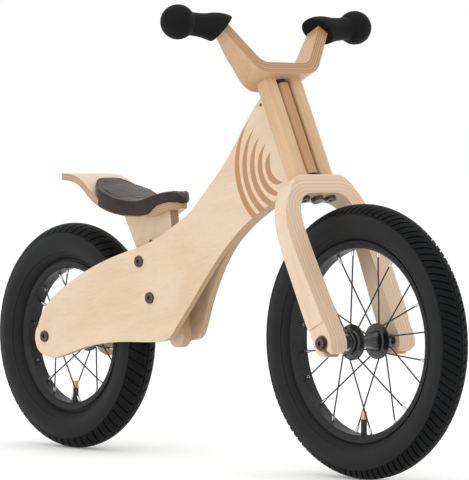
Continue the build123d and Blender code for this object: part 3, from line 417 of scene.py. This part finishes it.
def fork_depth(tree, parts):
    """Distance in from an arch with round shoulders."""
    side = math(tree, "ABSOLUTE", parts["Y"])
    out_y = math(tree, "MAXIMUM", math(tree, "SUBTRACT", side, FORK_HALF - FORK_CORNER), 0.0)
    out_h = math(tree, "MAXIMUM", math(tree, "SUBTRACT", parts["Z"], CROWN_TOP - FORK_CORNER), 0.0)
    reach = math(tree, "SQRT", math(tree, "ADD", math(tree, "MULTIPLY", out_y, out_y),
                                    math(tree, "MULTIPLY", out_h, out_h)))
    below = math(tree, "MAXIMUM", math(tree, "SUBTRACT", LEG_TAPER_FROM, parts["Z"]), 0.0)
    taper = math(tree, "MULTIPLY", below, LEG_TAPER)
    return math(tree, "SUBTRACT", FORK_CORNER, math(tree, "ADD", reach, taper))


def bar_depth(tree, parts):
    """Height above the underside of the bar and of its rising arms, whichever is less."""
    side = math(tree, "SUBTRACT", math(tree, "ABSOLUTE", parts["Y"]), BAR_CORNER)
    up = math(tree, "SUBTRACT", parts["Z"], BAR_LOW)
    arm = math(tree, "SUBTRACT", math(tree, "MULTIPLY", up, cos(BAR_ARM_ANGLE)),
               math(tree, "MULTIPLY", side, sin(BAR_ARM_ANGLE)))
    return math(tree, "SMOOTH_MIN", up, arm, BAR_BEND)


def front_and_back(tree, facing):
    return ramp(tree, math(tree, "ABSOLUTE", facing["X"]), 0.42, 0.60)


def square_to_axis(tree, facing):
    return math(tree, "SUBTRACT", 1.0, ramp(tree, math(tree, "ABSOLUTE", facing["Z"]), 0.25, 0.40))


give(bent_laminate("fork birch", fork_depth, FORK_PLY, (BIRCH_PALE, BIRCH_WARM, FORK_LIGHT, FORK_DARK),
                   front_and_back, 0.22), "fork")
give(upright_wood("strut beech", STRUT_PALE, STRUT_WARM, 0.35), "strut_right", "strut_left",
     "grip_core_right", "grip_core_left")
give(bent_laminate("handlebar birch", bar_depth, BAR_PLY, (BAR_PALE, BAR_WARM, BAR_LIGHT, BAR_DARK),
                   square_to_axis, 0.7), "handlebar")

# ---- bolts, axles and bushes ------------------------------------------------
# Socket head bolts and sleeve nuts burnished to a dark bronze, bright steel axles,
# nickelled nipples and black bearing plastic. The steering rod is bright steel but gets the
# dark bronze too: painted shade under the crown.


def worked_metal(name, colour, roughness, metallic=1.0, grime=0.35):
    """Metal with fine machining marks and duller patches."""
    material, tree, shader, own = new_material(name)
    cloud = noise(tree, own["Object"], 160.0, 3)
    marks = noise(tree, own["Object"], 2400.0, 2, 0.6)
    worn = add_node(tree, "HueSaturation", {"Color": colour, "Value": 1.0 - grime}).outputs[0]
    tree.links.new(mix(tree, ramp(tree, cloud, 0.35, 0.75), colour, worn), shader.inputs["Base Color"])
    rough = math(tree, "ADD", math(tree, "MULTIPLY", cloud, 0.18), roughness - 0.09)
    tree.links.new(rough, shader.inputs["Roughness"])
    shader.inputs["Metallic"].default_value = metallic
    bump(tree, shader, marks, 0.15, 0.00005)
    return material


# The steering rod is given the dark bronze of the bolts in place of bright steel: painted shade under the
# crown.
give(worked_metal("bronzed bolt", (0.135, 0.100, 0.082, 1), 0.38), "head_pins", "seat_bolts",
     "seat_nuts", "steering_rod", "crown_bolts", "bar_bolts", "rear_axle_bolts", "front_axle_bolts")
give(worked_metal("bronzed washer", (0.230, 0.155, 0.120, 1), 0.42), "front_axle_washers")
give(worked_metal("bright steel", (0.60, 0.60, 0.61, 1), 0.25), "saddle_screws", "front_axle",
     "rear_axle", "front_bearings", "rear_bearings")
give(worked_metal("nickel", (0.72, 0.72, 0.73, 1), 0.20), "front_nipples", "rear_nipples")


def satin_black(name, colour, roughness, coat, shine=0.35):
    """Black plastic or enamel with a faint mottle in its gloss."""
    material, tree, shader, own = new_material(name)
    shader.inputs["Specular IOR Level"].default_value = shine
    mottle = noise(tree, own["Object"], 420.0, 3)
    lighter = add_node(tree, "HueSaturation", {"Color": colour, "Value": 1.6}).outputs[0]
    mottled = mix(tree, math(tree, "MULTIPLY", mottle, 0.5), colour, lighter)
    tree.links.new(mottled, shader.inputs["Base Color"])
    rough = math(tree, "MULTIPLY_ADD", mottle, 0.14, roughness - 0.07)
    tree.links.new(rough, shader.inputs["Roughness"])
    varnish(shader, coat, 0.12)
    bump(tree, shader, noise(tree, own["Object"], 1800.0, 2), 0.10, 0.00006)
    return material


give(satin_black("bearing plastic", (0.030, 0.030, 0.032, 1), 0.45, 0.0), "head_bushes", "seat_spacers",
     "thrust_washers")

# ---- grips ------------------------------------------------------------------
# Ball-ended grips of soft matt black rubber, each moulded in one piece. They are pushed
# over the ends of the bar, on wooden cores.
give(satin_black("grip rubber", (0.0060, 0.0060, 0.0064, 1), 0.62, 0.0, 0.10), "grip_right", "grip_left")

# ---- hubs, sleeves and spokes -----------------------------------------------
# Glossy black waisted hubs, turned in one piece with a thin flange each side, on black
# sleeves. Black spokes hook over the flanges.
HUB_HALF = 0.0315
HUB_BORE = 0.0052
HUB_WAIST_R = 0.0080
HUB_NECK_R = 0.0134
FLANGE_R = 0.0230
FLANGE_IN = 0.0205
FLANGE_OUT = 0.0235
HUB_STEPS = 72
BEARING_SEAT = 0.0072
BEARING_PLAY = 0.00005


def select_only(obj):
    bpy.ops.object.select_all(action="DESELECT")
    obj.select_set(True)
    bpy.context.view_layer.objects.active = obj


def select_vertices(obj, wanted):
    """In edit mode, selects the vertices whose place passes the test."""
    bpy.ops.object.mode_set(mode="EDIT")
    bpy.ops.mesh.select_mode(type="VERT")
    bpy.ops.mesh.select_all(action="DESELECT")
    bpy.ops.object.mode_set(mode="OBJECT")
    for vertex in obj.data.vertices:
        vertex.select = wanted(vertex.co)
    bpy.ops.object.mode_set(mode="EDIT")


def select_faces(obj, wanted):
    """In edit mode, selects the faces whose centre passes the test."""
    bpy.ops.object.mode_set(mode="EDIT")
    bpy.ops.mesh.select_mode(type="FACE")
    bpy.ops.mesh.select_all(action="DESELECT")
    bpy.ops.object.mode_set(mode="OBJECT")
    for face in obj.data.polygons:
        face.select = wanted(face.center)
    bpy.ops.object.mode_set(mode="EDIT")


def turned(name, centre, outline, steps):
    """Turns a closed outline of (Y, radius) points right round an axle along Y."""
    places = [Vector((centre.x, centre.y + y, centre.z + radius)) for y, radius in outline]
    bpy.ops.mesh.primitive_plane_add(size=0.001, location=(0, 0, 0))
    obj = bpy.context.active_object
    obj.name = name
    bpy.ops.object.mode_set(mode="EDIT")
    bpy.ops.mesh.select_mode(type="VERT")
    bpy.ops.mesh.select_all(action="SELECT")
    bpy.ops.mesh.merge(type="CENTER")
    bpy.ops.transform.translate(value=places[0])
    for before, after in zip(places, places[1:]):
        bpy.ops.mesh.extrude_vertices_move(TRANSFORM_OT_translate={"value": after - before})
    bpy.ops.mesh.select_all(action="SELECT")
    bpy.ops.mesh.remove_doubles(threshold=0.00001)
    bpy.ops.mesh.select_all(action="SELECT")
    bpy.ops.mesh.spin(steps=steps, angle=2 * pi, center=centre, axis=(0, 1, 0))
    bpy.ops.mesh.select_all(action="SELECT")
    bpy.ops.mesh.remove_doubles(threshold=0.00001)
    bpy.ops.mesh.select_all(action="SELECT")
    bpy.ops.mesh.normals_make_consistent(inside=False)
    bpy.ops.object.mode_set(mode="OBJECT")
    return obj


def hub_outline(bearing_r, bearing_in):
    """Hourglass waist, flange with rounded rim, stepped cap, then the bearing seat and bore."""
    half = []
    for step in range(13):
        share = step / 12
        flare = share ** 2.2
        half.append((share * (FLANGE_IN - 0.0008), HUB_WAIST_R + (HUB_NECK_R - HUB_WAIST_R) * flare))
    half += [(0.0203, 0.0142), (FLANGE_IN, 0.0152), (FLANGE_IN, 0.0222), (0.0208, 0.0228), (0.0214, FLANGE_R),
             (0.0226, FLANGE_R), (0.0232, 0.0228), (FLANGE_OUT, 0.0222), (FLANGE_OUT, 0.0168),
             (0.0238, 0.0162), (0.0246, 0.0158), (0.0252, 0.0150), (0.0262, 0.0146), (0.0292, 0.0140),
             (0.0306, 0.0134), (0.0313, 0.0126), (HUB_HALF, 0.0118), (HUB_HALF, bearing_r),
             (bearing_in, bearing_r), (bearing_in, HUB_BORE)]
    left = [(-y, radius) for y, radius in reversed(half)][:-1]
    return half + left + [half[0]]


def turned_hub(wheel):
    low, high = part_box(f"{wheel}_hub")
    centre = (low + high) / 2
    bearing_low, bearing_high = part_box(f"{wheel}_bearings")
    bearing_r = (bearing_high.z - bearing_low.z) / 2 + BEARING_PLAY
    obj = turned(f"{wheel}_turned_hub", centre, hub_outline(bearing_r, HUB_HALF - BEARING_SEAT), HUB_STEPS)
    select_only(obj)
    bpy.ops.object.shade_smooth_by_angle(angle=radians(35))
    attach(obj, f"{wheel}_wheel")
    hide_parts(f"{wheel}_hub")
    return obj


hub_enamel = satin_black("hub enamel", (0.0065, 0.0065, 0.0072, 1), 0.16, 0.7)
for wheel_name in ("front", "rear"):
    turned_hub(wheel_name).data.materials.append(hub_enamel)
give(hub_enamel, "front_axle_sleeves", "rear_axle_sleeves")
give(satin_black("spoke black", (0.014, 0.014, 0.015, 1), 0.30, 0.2), "front_spokes", "rear_spokes")

# ---- rims -------------------------------------------------------------------
# Aluminium rims, rolled to a hoop and anodised a satin black. Twenty nickelled nipples and
# one valve pass through each.
give(worked_metal("black anodised rim", (0.016, 0.016, 0.017, 1), 0.42, 0.5), "front_rim", "rear_rim")

# ---- tyres ------------------------------------------------------------------
# Black rubber tyres: smooth sidewalls with a raised bead line, and a round tread with
# slanted slits on both shoulders that meet a thin zigzag along the middle.
TREAD_ANGLE = 62.0
SLIT_FROM_ANGLE = 9.0
SLIT_TO_ANGLE = 58.0
SLIT_DEPTH = 0.0024
SKIN_T = 0.003
BEAD_Y = 0.0106
BEAD_T = 0.0028
BEAD_REACH = 0.0024
TREAD_STEP = 0.0007
MIDDLE_DEPTH = 0.0012
MIDDLE_ANGLE = 1.6
MIDDLE_SWAY = 0.0010
SLANT = 0.014
TREAD_RINGS = [MIDDLE_ANGLE, 5, 9, 16, 23, 30, 37, 44, 51, 58]
WALL_RINGS = [64, 72, 82, 92, 102, 112, 118, 120, 123, 125, 132, 140, 146]
BEAD_LINE = (120, 123)
SLIT_LIP = 0.0003
MIDDLE_LIP = 0.0002


def tyre_outline(mid, section_r, foot):
    """Outer skin from bead to bead, down to the foot inside the rim, then back inside."""
    outline = []
    bead_angle = 180 - degrees(atan2(BEAD_Y, sqrt(section_r ** 2 - BEAD_Y ** 2)))
    for angle in TREAD_RINGS + [TREAD_ANGLE] + WALL_RINGS + [bead_angle]:
        drop = TREAD_STEP if angle > TREAD_ANGLE and angle not in BEAD_LINE else 0
        radius = section_r - drop
        outline.append((radius * sin(radians(angle)), mid + radius * cos(radians(angle))))
    inner = section_r - SKIN_T
    outline += [(BEAD_Y, foot), (BEAD_Y - BEAD_T, foot)]
    for angle in (158, 130, 95, 60, 30):
        outline.append((inner * sin(radians(angle)), mid + inner * cos(radians(angle))))
    left = [(-y, radius) for y, radius in reversed(outline)]
    return outline + left + [outline[0]]


def tyre_rubber(name, black, dusty, shine):
    material, tree, shader, own = new_material(name)
    dust = noise(tree, own["Object"], 26.0, 4, 0.6)
    speckle = noise(tree, own["Object"], 1500.0, 2, 0.5)
    share = math(tree, "ADD", math(tree, "MULTIPLY", dust, 0.7), math(tree, "MULTIPLY", speckle, 0.3))
    tree.links.new(mix(tree, ramp(tree, share, 0.35, 0.80), black, dusty), shader.inputs["Base Color"])
    tree.links.new(math(tree, "MULTIPLY_ADD", share, 0.20, 0.42), shader.inputs["Roughness"])
    shader.inputs["Specular IOR Level"].default_value = shine
    bump(tree, shader, speckle, 0.25, 0.0001)
    return material


sidewall = tyre_rubber("sidewall rubber", (0.0080, 0.0084, 0.0090, 1), (0.0150, 0.0154, 0.0162, 1), 0.20)
# The tread rubber is a darker, less shiny copy of the sidewall rubber: the difference is painted shade on the
# tread.
tread_painted_shade = tyre_rubber("tread rubber", (0.0042, 0.0046, 0.0052, 1), (0.0080, 0.0084, 0.0092, 1), 0.09)


def tyre(name, wheel, pitches, columns):
    node = f"{wheel}_tyre"
    low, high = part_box(node)
    centre = (low + high) / 2
    wheel_r = (high.z - low.z) / 2
    section_r = (high.y - low.y) / 2
    mid = wheel_r - section_r
    steps = pitches * columns
    rim_low, rim_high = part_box(f"{wheel}_rim")
    foot = (rim_high.z - rim_low.z) / 2 - BEAD_REACH
    obj = turned(name, centre, tyre_outline(mid, section_r, foot), steps)

    def section_angle(place):
        radius = sqrt((place.x - centre.x) ** 2 + (place.z - centre.z) ** 2)
        return degrees(atan2(abs(place.y), radius - mid))

    def depth_under(place):
        radius = sqrt((place.x - centre.x) ** 2 + (place.z - centre.z) ** 2)
        return section_r - sqrt(place.y ** 2 + (radius - mid) ** 2)

    def on_outside(place):
        return depth_under(place) < SKIN_T / 2

    def lead(angle):
        return SLANT / wheel_r * max(0.0, 1 - angle / TREAD_ANGLE)

    def turn(place):
        return atan2(place.x - centre.x, place.z - centre.z)

    def step_of(place):
        share = (turn(place) - lead(section_angle(place))) / (2 * pi) * steps
        return round(share) + steps * 2

    def column(place):
        share = (turn(place) - lead(section_angle(place))) / (2 * pi) * steps
        side = columns // 2 if place.y > 0 else 0
        return int(share + steps * 2 + 0.0001 + side) % columns

    for ring in TREAD_RINGS:
        select_vertices(obj, lambda p: on_outside(p) and abs(section_angle(p) - ring) < 0.5)
        bpy.ops.transform.rotate(value=-lead(ring), orient_axis="Y", orient_type="GLOBAL",
                                 center_override=centre)
        bpy.ops.object.mode_set(mode="OBJECT")
    for phase in range(columns):
        select_vertices(obj, lambda p: on_outside(p) and section_angle(p) < MIDDLE_ANGLE + 0.5
                        and step_of(p) % columns == phase)
        sway = MIDDLE_SWAY * (1 - 4 * abs(phase / columns - 0.5))
        bpy.ops.transform.translate(value=(0, sway, 0))
        bpy.ops.object.mode_set(mode="OBJECT")
    select_faces(obj, lambda p: on_outside(p) and column(p) == 0
                 and SLIT_FROM_ANGLE < section_angle(p) < SLIT_TO_ANGLE)
    bpy.ops.mesh.inset(thickness=SLIT_LIP, depth=-SLIT_DEPTH)
    bpy.ops.object.mode_set(mode="OBJECT")
    select_faces(obj, lambda p: on_outside(p) and section_angle(p) < MIDDLE_ANGLE)
    bpy.ops.mesh.inset(thickness=MIDDLE_LIP, depth=-MIDDLE_DEPTH)
    bpy.ops.object.mode_set(mode="OBJECT")
    select_only(obj)
    obj.data.materials.append(sidewall)
    obj.data.materials.append(tread_painted_shade)
    select_faces(obj, lambda p: section_angle(p) < TREAD_ANGLE and depth_under(p) < SKIN_T - 0.0002)
    obj.active_material_index = 1
    bpy.ops.object.material_slot_assign()
    bpy.ops.object.mode_set(mode="OBJECT")
    bpy.ops.object.shade_smooth_by_angle(angle=radians(32))
    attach(obj, f"{wheel}_wheel")
    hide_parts(node)


tyre("front_tread_tyre", "front", 104, 4)
tyre("rear_tread_tyre", "rear", 66, 5)

# ---- tubes and valves -------------------------------------------------------
# Butyl tubes hidden inside the tyres, each with a black rubber valve stem that comes out
# through the rim and a screwed brass cap.
give(satin_black("butyl", (0.020, 0.020, 0.021, 1), 0.55, 0.0), "front_tube", "rear_tube",
     "front_valve_stem", "rear_valve_stem")
give(worked_metal("brass cap", (0.680, 0.430, 0.140, 1), 0.26, 1.0, 0.25), "front_valve_cap",
     "rear_valve_cap")

# ---- saddle pad -------------------------------------------------------------
# Dark brown leather over foam, glued down round the edge of the shell and pulled over its
# nose. A seam sewn in tan thread runs all round, just inside the edge.
PAD_EDGE = [(-0.2380, 0.0000), (-0.2350, 0.0120), (-0.2270, 0.0250), (-0.2160, 0.0360), (-0.2010, 0.0460),
            (-0.1750, 0.0455), (-0.1500, 0.0395), (-0.1250, 0.0325), (-0.1000, 0.0240), (-0.0840, 0.0170),
            (-0.0725, 0.0095), (-0.0675, 0.0000)]
SEAM_IN = 0.0070
SEAM_DEPTH = 0.0009
SEAM_WIDTH = 0.0014
PAD_VOXEL = 0.0018
PAD_SWELL = 0.0035
GLUED_BELOW = 0.45
STITCH_PITCH = 0.0042
STITCH = (0.0031, 0.0010, 0.0009)
HOOD_X = -0.120
HOOD_BLEND = 0.03
HOOD_CREASE = 0.0007
PAD_CREASE = 0.00025
CREASES_PER_M = 70
SEAM_SAMPLE = 0.0004
ABOVE_SADDLE = 0.5
STITCH_LIFT = 0.0001
LEATHER_DARK = (0.0200, 0.0115, 0.0095, 1)
LEATHER_WORN = (0.0380, 0.0225, 0.0185, 1)


def saddle_leather():
    material, tree, shader, own = new_material("saddle leather")
    pebble = add_node(tree, "TexVoronoi", {"Vector": own["Object"], "Scale": 900.0},
                      feature="DISTANCE_TO_EDGE").outputs["Distance"]
    crease = ramp(tree, pebble, 0.0, 0.22)
    patches = noise(tree, own["Object"], 45.0, 4, 0.6)
    colour = mix(tree, ramp(tree, patches, 0.3, 0.7), LEATHER_DARK, LEATHER_WORN)
    # Darker leather in the creases of the pebble grain is painted shade.
    painted_crease_shade = add_node(tree, "HueSaturation", {"Color": colour, "Value": 0.60}).outputs[0]
    tree.links.new(mix(tree, crease, painted_crease_shade, colour), shader.inputs["Base Color"])
    tree.links.new(math(tree, "MULTIPLY_ADD", patches, 0.20, 0.28), shader.inputs["Roughness"])
    shader.inputs["Specular IOR Level"].default_value = 0.30
    varnish(shader, 0.08, 0.25)
    bump(tree, shader, crease, 0.30, 0.0002)
    return material


def tan_thread():
    material, tree, shader, own = new_material("tan thread")
    twist = add_node(tree, "TexWave", {"Vector": own["Object"], "Scale": 900.0, "Distortion": 1.5},
                     bands_direction="DIAGONAL").outputs["Fac"]
    # The twist's grooves are a darker tan than its ridges: painted shade.
    tree.links.new(mix(tree, twist, (0.300, 0.150, 0.055, 1), (0.520, 0.300, 0.120, 1)),
                   shader.inputs["Base Color"])
    shader.inputs["Roughness"].default_value = 0.6
    bump(tree, shader, twist, 0.4, 0.0001)
    return material


def seam_line(spacing):
    """The pad's outline in plan, moved in to the seam, as evenly spaced points."""
    right = [Vector((x, -y)) for x, y in PAD_EDGE]
    corners = right + [Vector((x, y)) for x, y in reversed(PAD_EDGE[1:-1])]
    outline = []
    for i in range(len(corners)):
        a, b, c, d = (corners[(i + k - 1) % len(corners)] for k in range(4))
        for step in range(12):
            t = step / 12
            outline.append((b * 2 + (c - a) * t + (a * 2 - b * 5 + c * 4 - d) * t ** 2
                            + (b * 3 - a - c * 3 + d) * t ** 3) / 2)
    inset = []
    for i, point in enumerate(outline):
        run = (outline[(i + 1) % len(outline)] - outline[i - 1]).normalized()
        inset.append(point + Vector((-run.y, run.x)) * SEAM_IN)
    line, gone = [], 0.0
    for before, after in zip(inset, inset[1:] + inset[:1]):
        length = (after - before).length
        while gone < length:
            line.append(before.lerp(after, gone / length))
            gone += spacing
        gone -= length
    return line


def swell(piece):
    """Foam under leather: pressure lifts the top while the edge and the underside stay glued."""
    start = [vertex.co.copy() for vertex in piece.data.vertices]
    glued = piece.vertex_groups.new(name="glued")
    glued.add([v.index for v in piece.data.vertices if v.normal.z < GLUED_BELOW], 1.0, "REPLACE")
    cloth = piece.modifiers.new("Cloth", "CLOTH")
    cloth.settings.use_pressure = True
    cloth.settings.uniform_pressure_force = 4
    cloth.settings.effector_weights.gravity = 0
    cloth.settings.vertex_group_mass = glued.name
    for step in range(1, 21):
        bpy.context.scene.frame_set(step)
    swollen = piece.evaluated_get(bpy.context.evaluated_depsgraph_get()).data
    moves = [vertex.co - place for vertex, place in zip(swollen.vertices, start)]
    piece.modifiers.remove(cloth)
    for vertex, place, move in zip(piece.data.vertices, start, moves):
        far = move.length
        if far > 0:
            vertex.co = place + move * (PAD_SWELL * tanh(far / PAD_SWELL) / far)
    bpy.context.scene.frame_set(1)
    piece.vertex_groups.clear()


leather = saddle_leather()
bpy.ops.object.select_all(action="DESELECT")
cad_pad = nodes["saddle_pad"]
cad_pad.select_set(True)
bpy.context.view_layer.objects.active = cad_pad
bpy.ops.object.duplicate()
pad = bpy.context.active_object
pad.name = "saddle_leather_pad"
for key in list(pad.keys()):
    del pad[key]
pad.parent = None
bpy.ops.object.mode_set(mode="EDIT")
bpy.ops.mesh.select_all(action="SELECT")
bpy.ops.mesh.remove_doubles(threshold=0.00001)
bpy.ops.object.mode_set(mode="OBJECT")
remesh = pad.modifiers.new("Remesh", "REMESH")
remesh.mode = "VOXEL"
remesh.voxel_size = PAD_VOXEL
bpy.ops.object.modifier_apply(modifier="Remesh")
smooth = pad.modifiers.new("Smooth", "SMOOTH")
smooth.factor = 0.6
smooth.iterations = 9
bpy.ops.object.modifier_apply(modifier="Smooth")
swell(pad)
finer = pad.modifiers.new("Subdivision", "SUBSURF")
finer.levels = finer.render_levels = 1
bpy.ops.object.modifier_apply(modifier="Subdivision")
near_seam = KDTree(2000)
for number, point in enumerate(seam_line(SEAM_SAMPLE)):
    near_seam.insert((point.x, point.y, 0), number)
near_seam.balance()
normals = [vertex.normal.copy() for vertex in pad.data.vertices]
for vertex, outward in zip(pad.data.vertices, normals):
    if outward.z > 0.2:
        off = near_seam.find((vertex.co.x, vertex.co.y, 0))[2]
        vertex.co.z -= SEAM_DEPTH * exp(-(off / SEAM_WIDTH) ** 2)
    hood = min(max((vertex.co.x - HOOD_X) / HOOD_BLEND, 0), 1)
    ripple = fractal(vertex.co * CREASES_PER_M, 1.0, 2.0, 3)
    vertex.co += outward * ripple * (PAD_CREASE + HOOD_CREASE * hood)
bpy.ops.object.shade_smooth()
pad.data.materials.clear()
pad.data.materials.append(leather)
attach(pad, "frame")
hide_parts("saddle_pad")

bpy.context.view_layer.update()
route = []
for point in seam_line(STITCH_PITCH):
    route.append(pad.ray_cast((point.x, point.y, ABOVE_SADDLE), (0, 0, -1))[1:3])
bpy.ops.object.select_all(action="DESELECT")
bpy.ops.mesh.primitive_uv_sphere_add(segments=8, ring_count=5, radius=0.5, location=(0, 0, 0))
stitching = bpy.context.active_object
stitching.name = "saddle_stitching"
one_stitch = stitching.data.copy()
for i, (place, normal) in enumerate(route):
    run = (route[(i + 1) % len(route)][0] - route[i - 1][0]).normalized()
    across = normal.cross(run).normalized()
    lie = Matrix((run, across, run.cross(across))).transposed().to_4x4()
    lie = Matrix.Translation(place + normal * STITCH_LIFT) @ lie @ Matrix.Diagonal((*STITCH, 1))
    if i == 0:
        stitching.data.transform(lie)
        continue
    copy = bpy.data.objects.new(f"stitch_{i}", one_stitch.copy())
    copy.data.transform(lie)
    bpy.context.collection.objects.link(copy)
    copy.select_set(True)
bpy.ops.object.join()
bpy.ops.object.shade_smooth()
stitching.data.materials.append(tan_thread())
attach(stitching, "frame")

# ---- floor, lights and camera -----------------------------------------------
# A plain pale studio floor, broad soft lights and a long lens low on the right side.
CAMERA_PLACE = Vector((3.6706, -3.2190, 0.4431))
CAMERA_HEADING = radians(138.516)
CAMERA_DIP = radians(1.946)
CAMERA_ROLL = radians(0.464)
LENS = 276.4
SENSOR = 36
SHIFT_UP = 0.0302

scene = bpy.context.scene
scene.view_settings.view_transform = "Standard"
bpy.ops.mesh.primitive_plane_add(size=60, location=(0, 0, 0))
floor = bpy.context.active_object
floor.name = "studio_floor"
floor_material, floor_tree, floor_shader, floor_own = new_material("studio floor")
tone = noise(floor_tree, floor_own["Object"], 0.6, 2)
floor_tree.links.new(mix(floor_tree, tone, (0.90, 0.90, 0.90, 1), (0.93, 0.93, 0.93, 1)),
                     floor_shader.inputs["Base Color"])
floor_shader.inputs["Roughness"].default_value = 0.9
floor_shader.inputs["Emission Color"].default_value = (1, 1, 1, 1)
floor_shader.inputs["Emission Strength"].default_value = 0.14
floor.data.materials.append(floor_material)

world = bpy.data.worlds.new("studio")
scene.world = world
world.use_nodes = True
world.node_tree.nodes["Background"].inputs["Color"].default_value = (1, 1, 1, 1)
world.node_tree.nodes["Background"].inputs["Strength"].default_value = 1.0


def soft_light(name, place, aim, size, power):
    lamp = bpy.data.lights.new(name, "AREA")
    lamp.shape = "RECTANGLE"
    lamp.size, lamp.size_y = size
    lamp.energy = power
    light = bpy.data.objects.new(name, lamp)
    scene.collection.objects.link(light)
    light.location = place
    light.rotation_euler = (Vector(aim) - Vector(place)).to_track_quat("-Z", "Y").to_euler()


soft_light("key", (0.6, -3.2, 2.2), (0, 0, 0.3), (2.0, 2.0), 16)
soft_light("overhead", (0.3, -0.2, 3.0), (0, 0, 0.2), (2.5, 2.5), 12)

lens = bpy.data.cameras.new("long_lens")
lens.sensor_fit = "VERTICAL"
lens.sensor_height = SENSOR
lens.lens = LENS
lens.shift_y = SHIFT_UP
lens.clip_end = 100
camera = bpy.data.objects.new("long_lens", lens)
scene.collection.objects.link(camera)
ahead = Vector((cos(CAMERA_HEADING) * cos(CAMERA_DIP), sin(CAMERA_HEADING) * cos(CAMERA_DIP),
                -sin(CAMERA_DIP)))
turn_to = ahead.to_track_quat("-Z", "Y").to_matrix().to_4x4()
camera.matrix_world = Matrix.Translation(CAMERA_PLACE) @ turn_to @ Matrix.Rotation(CAMERA_ROLL, 4, "Z")
scene.camera = camera

bpy.ops.object.select_all(action="DESELECT")
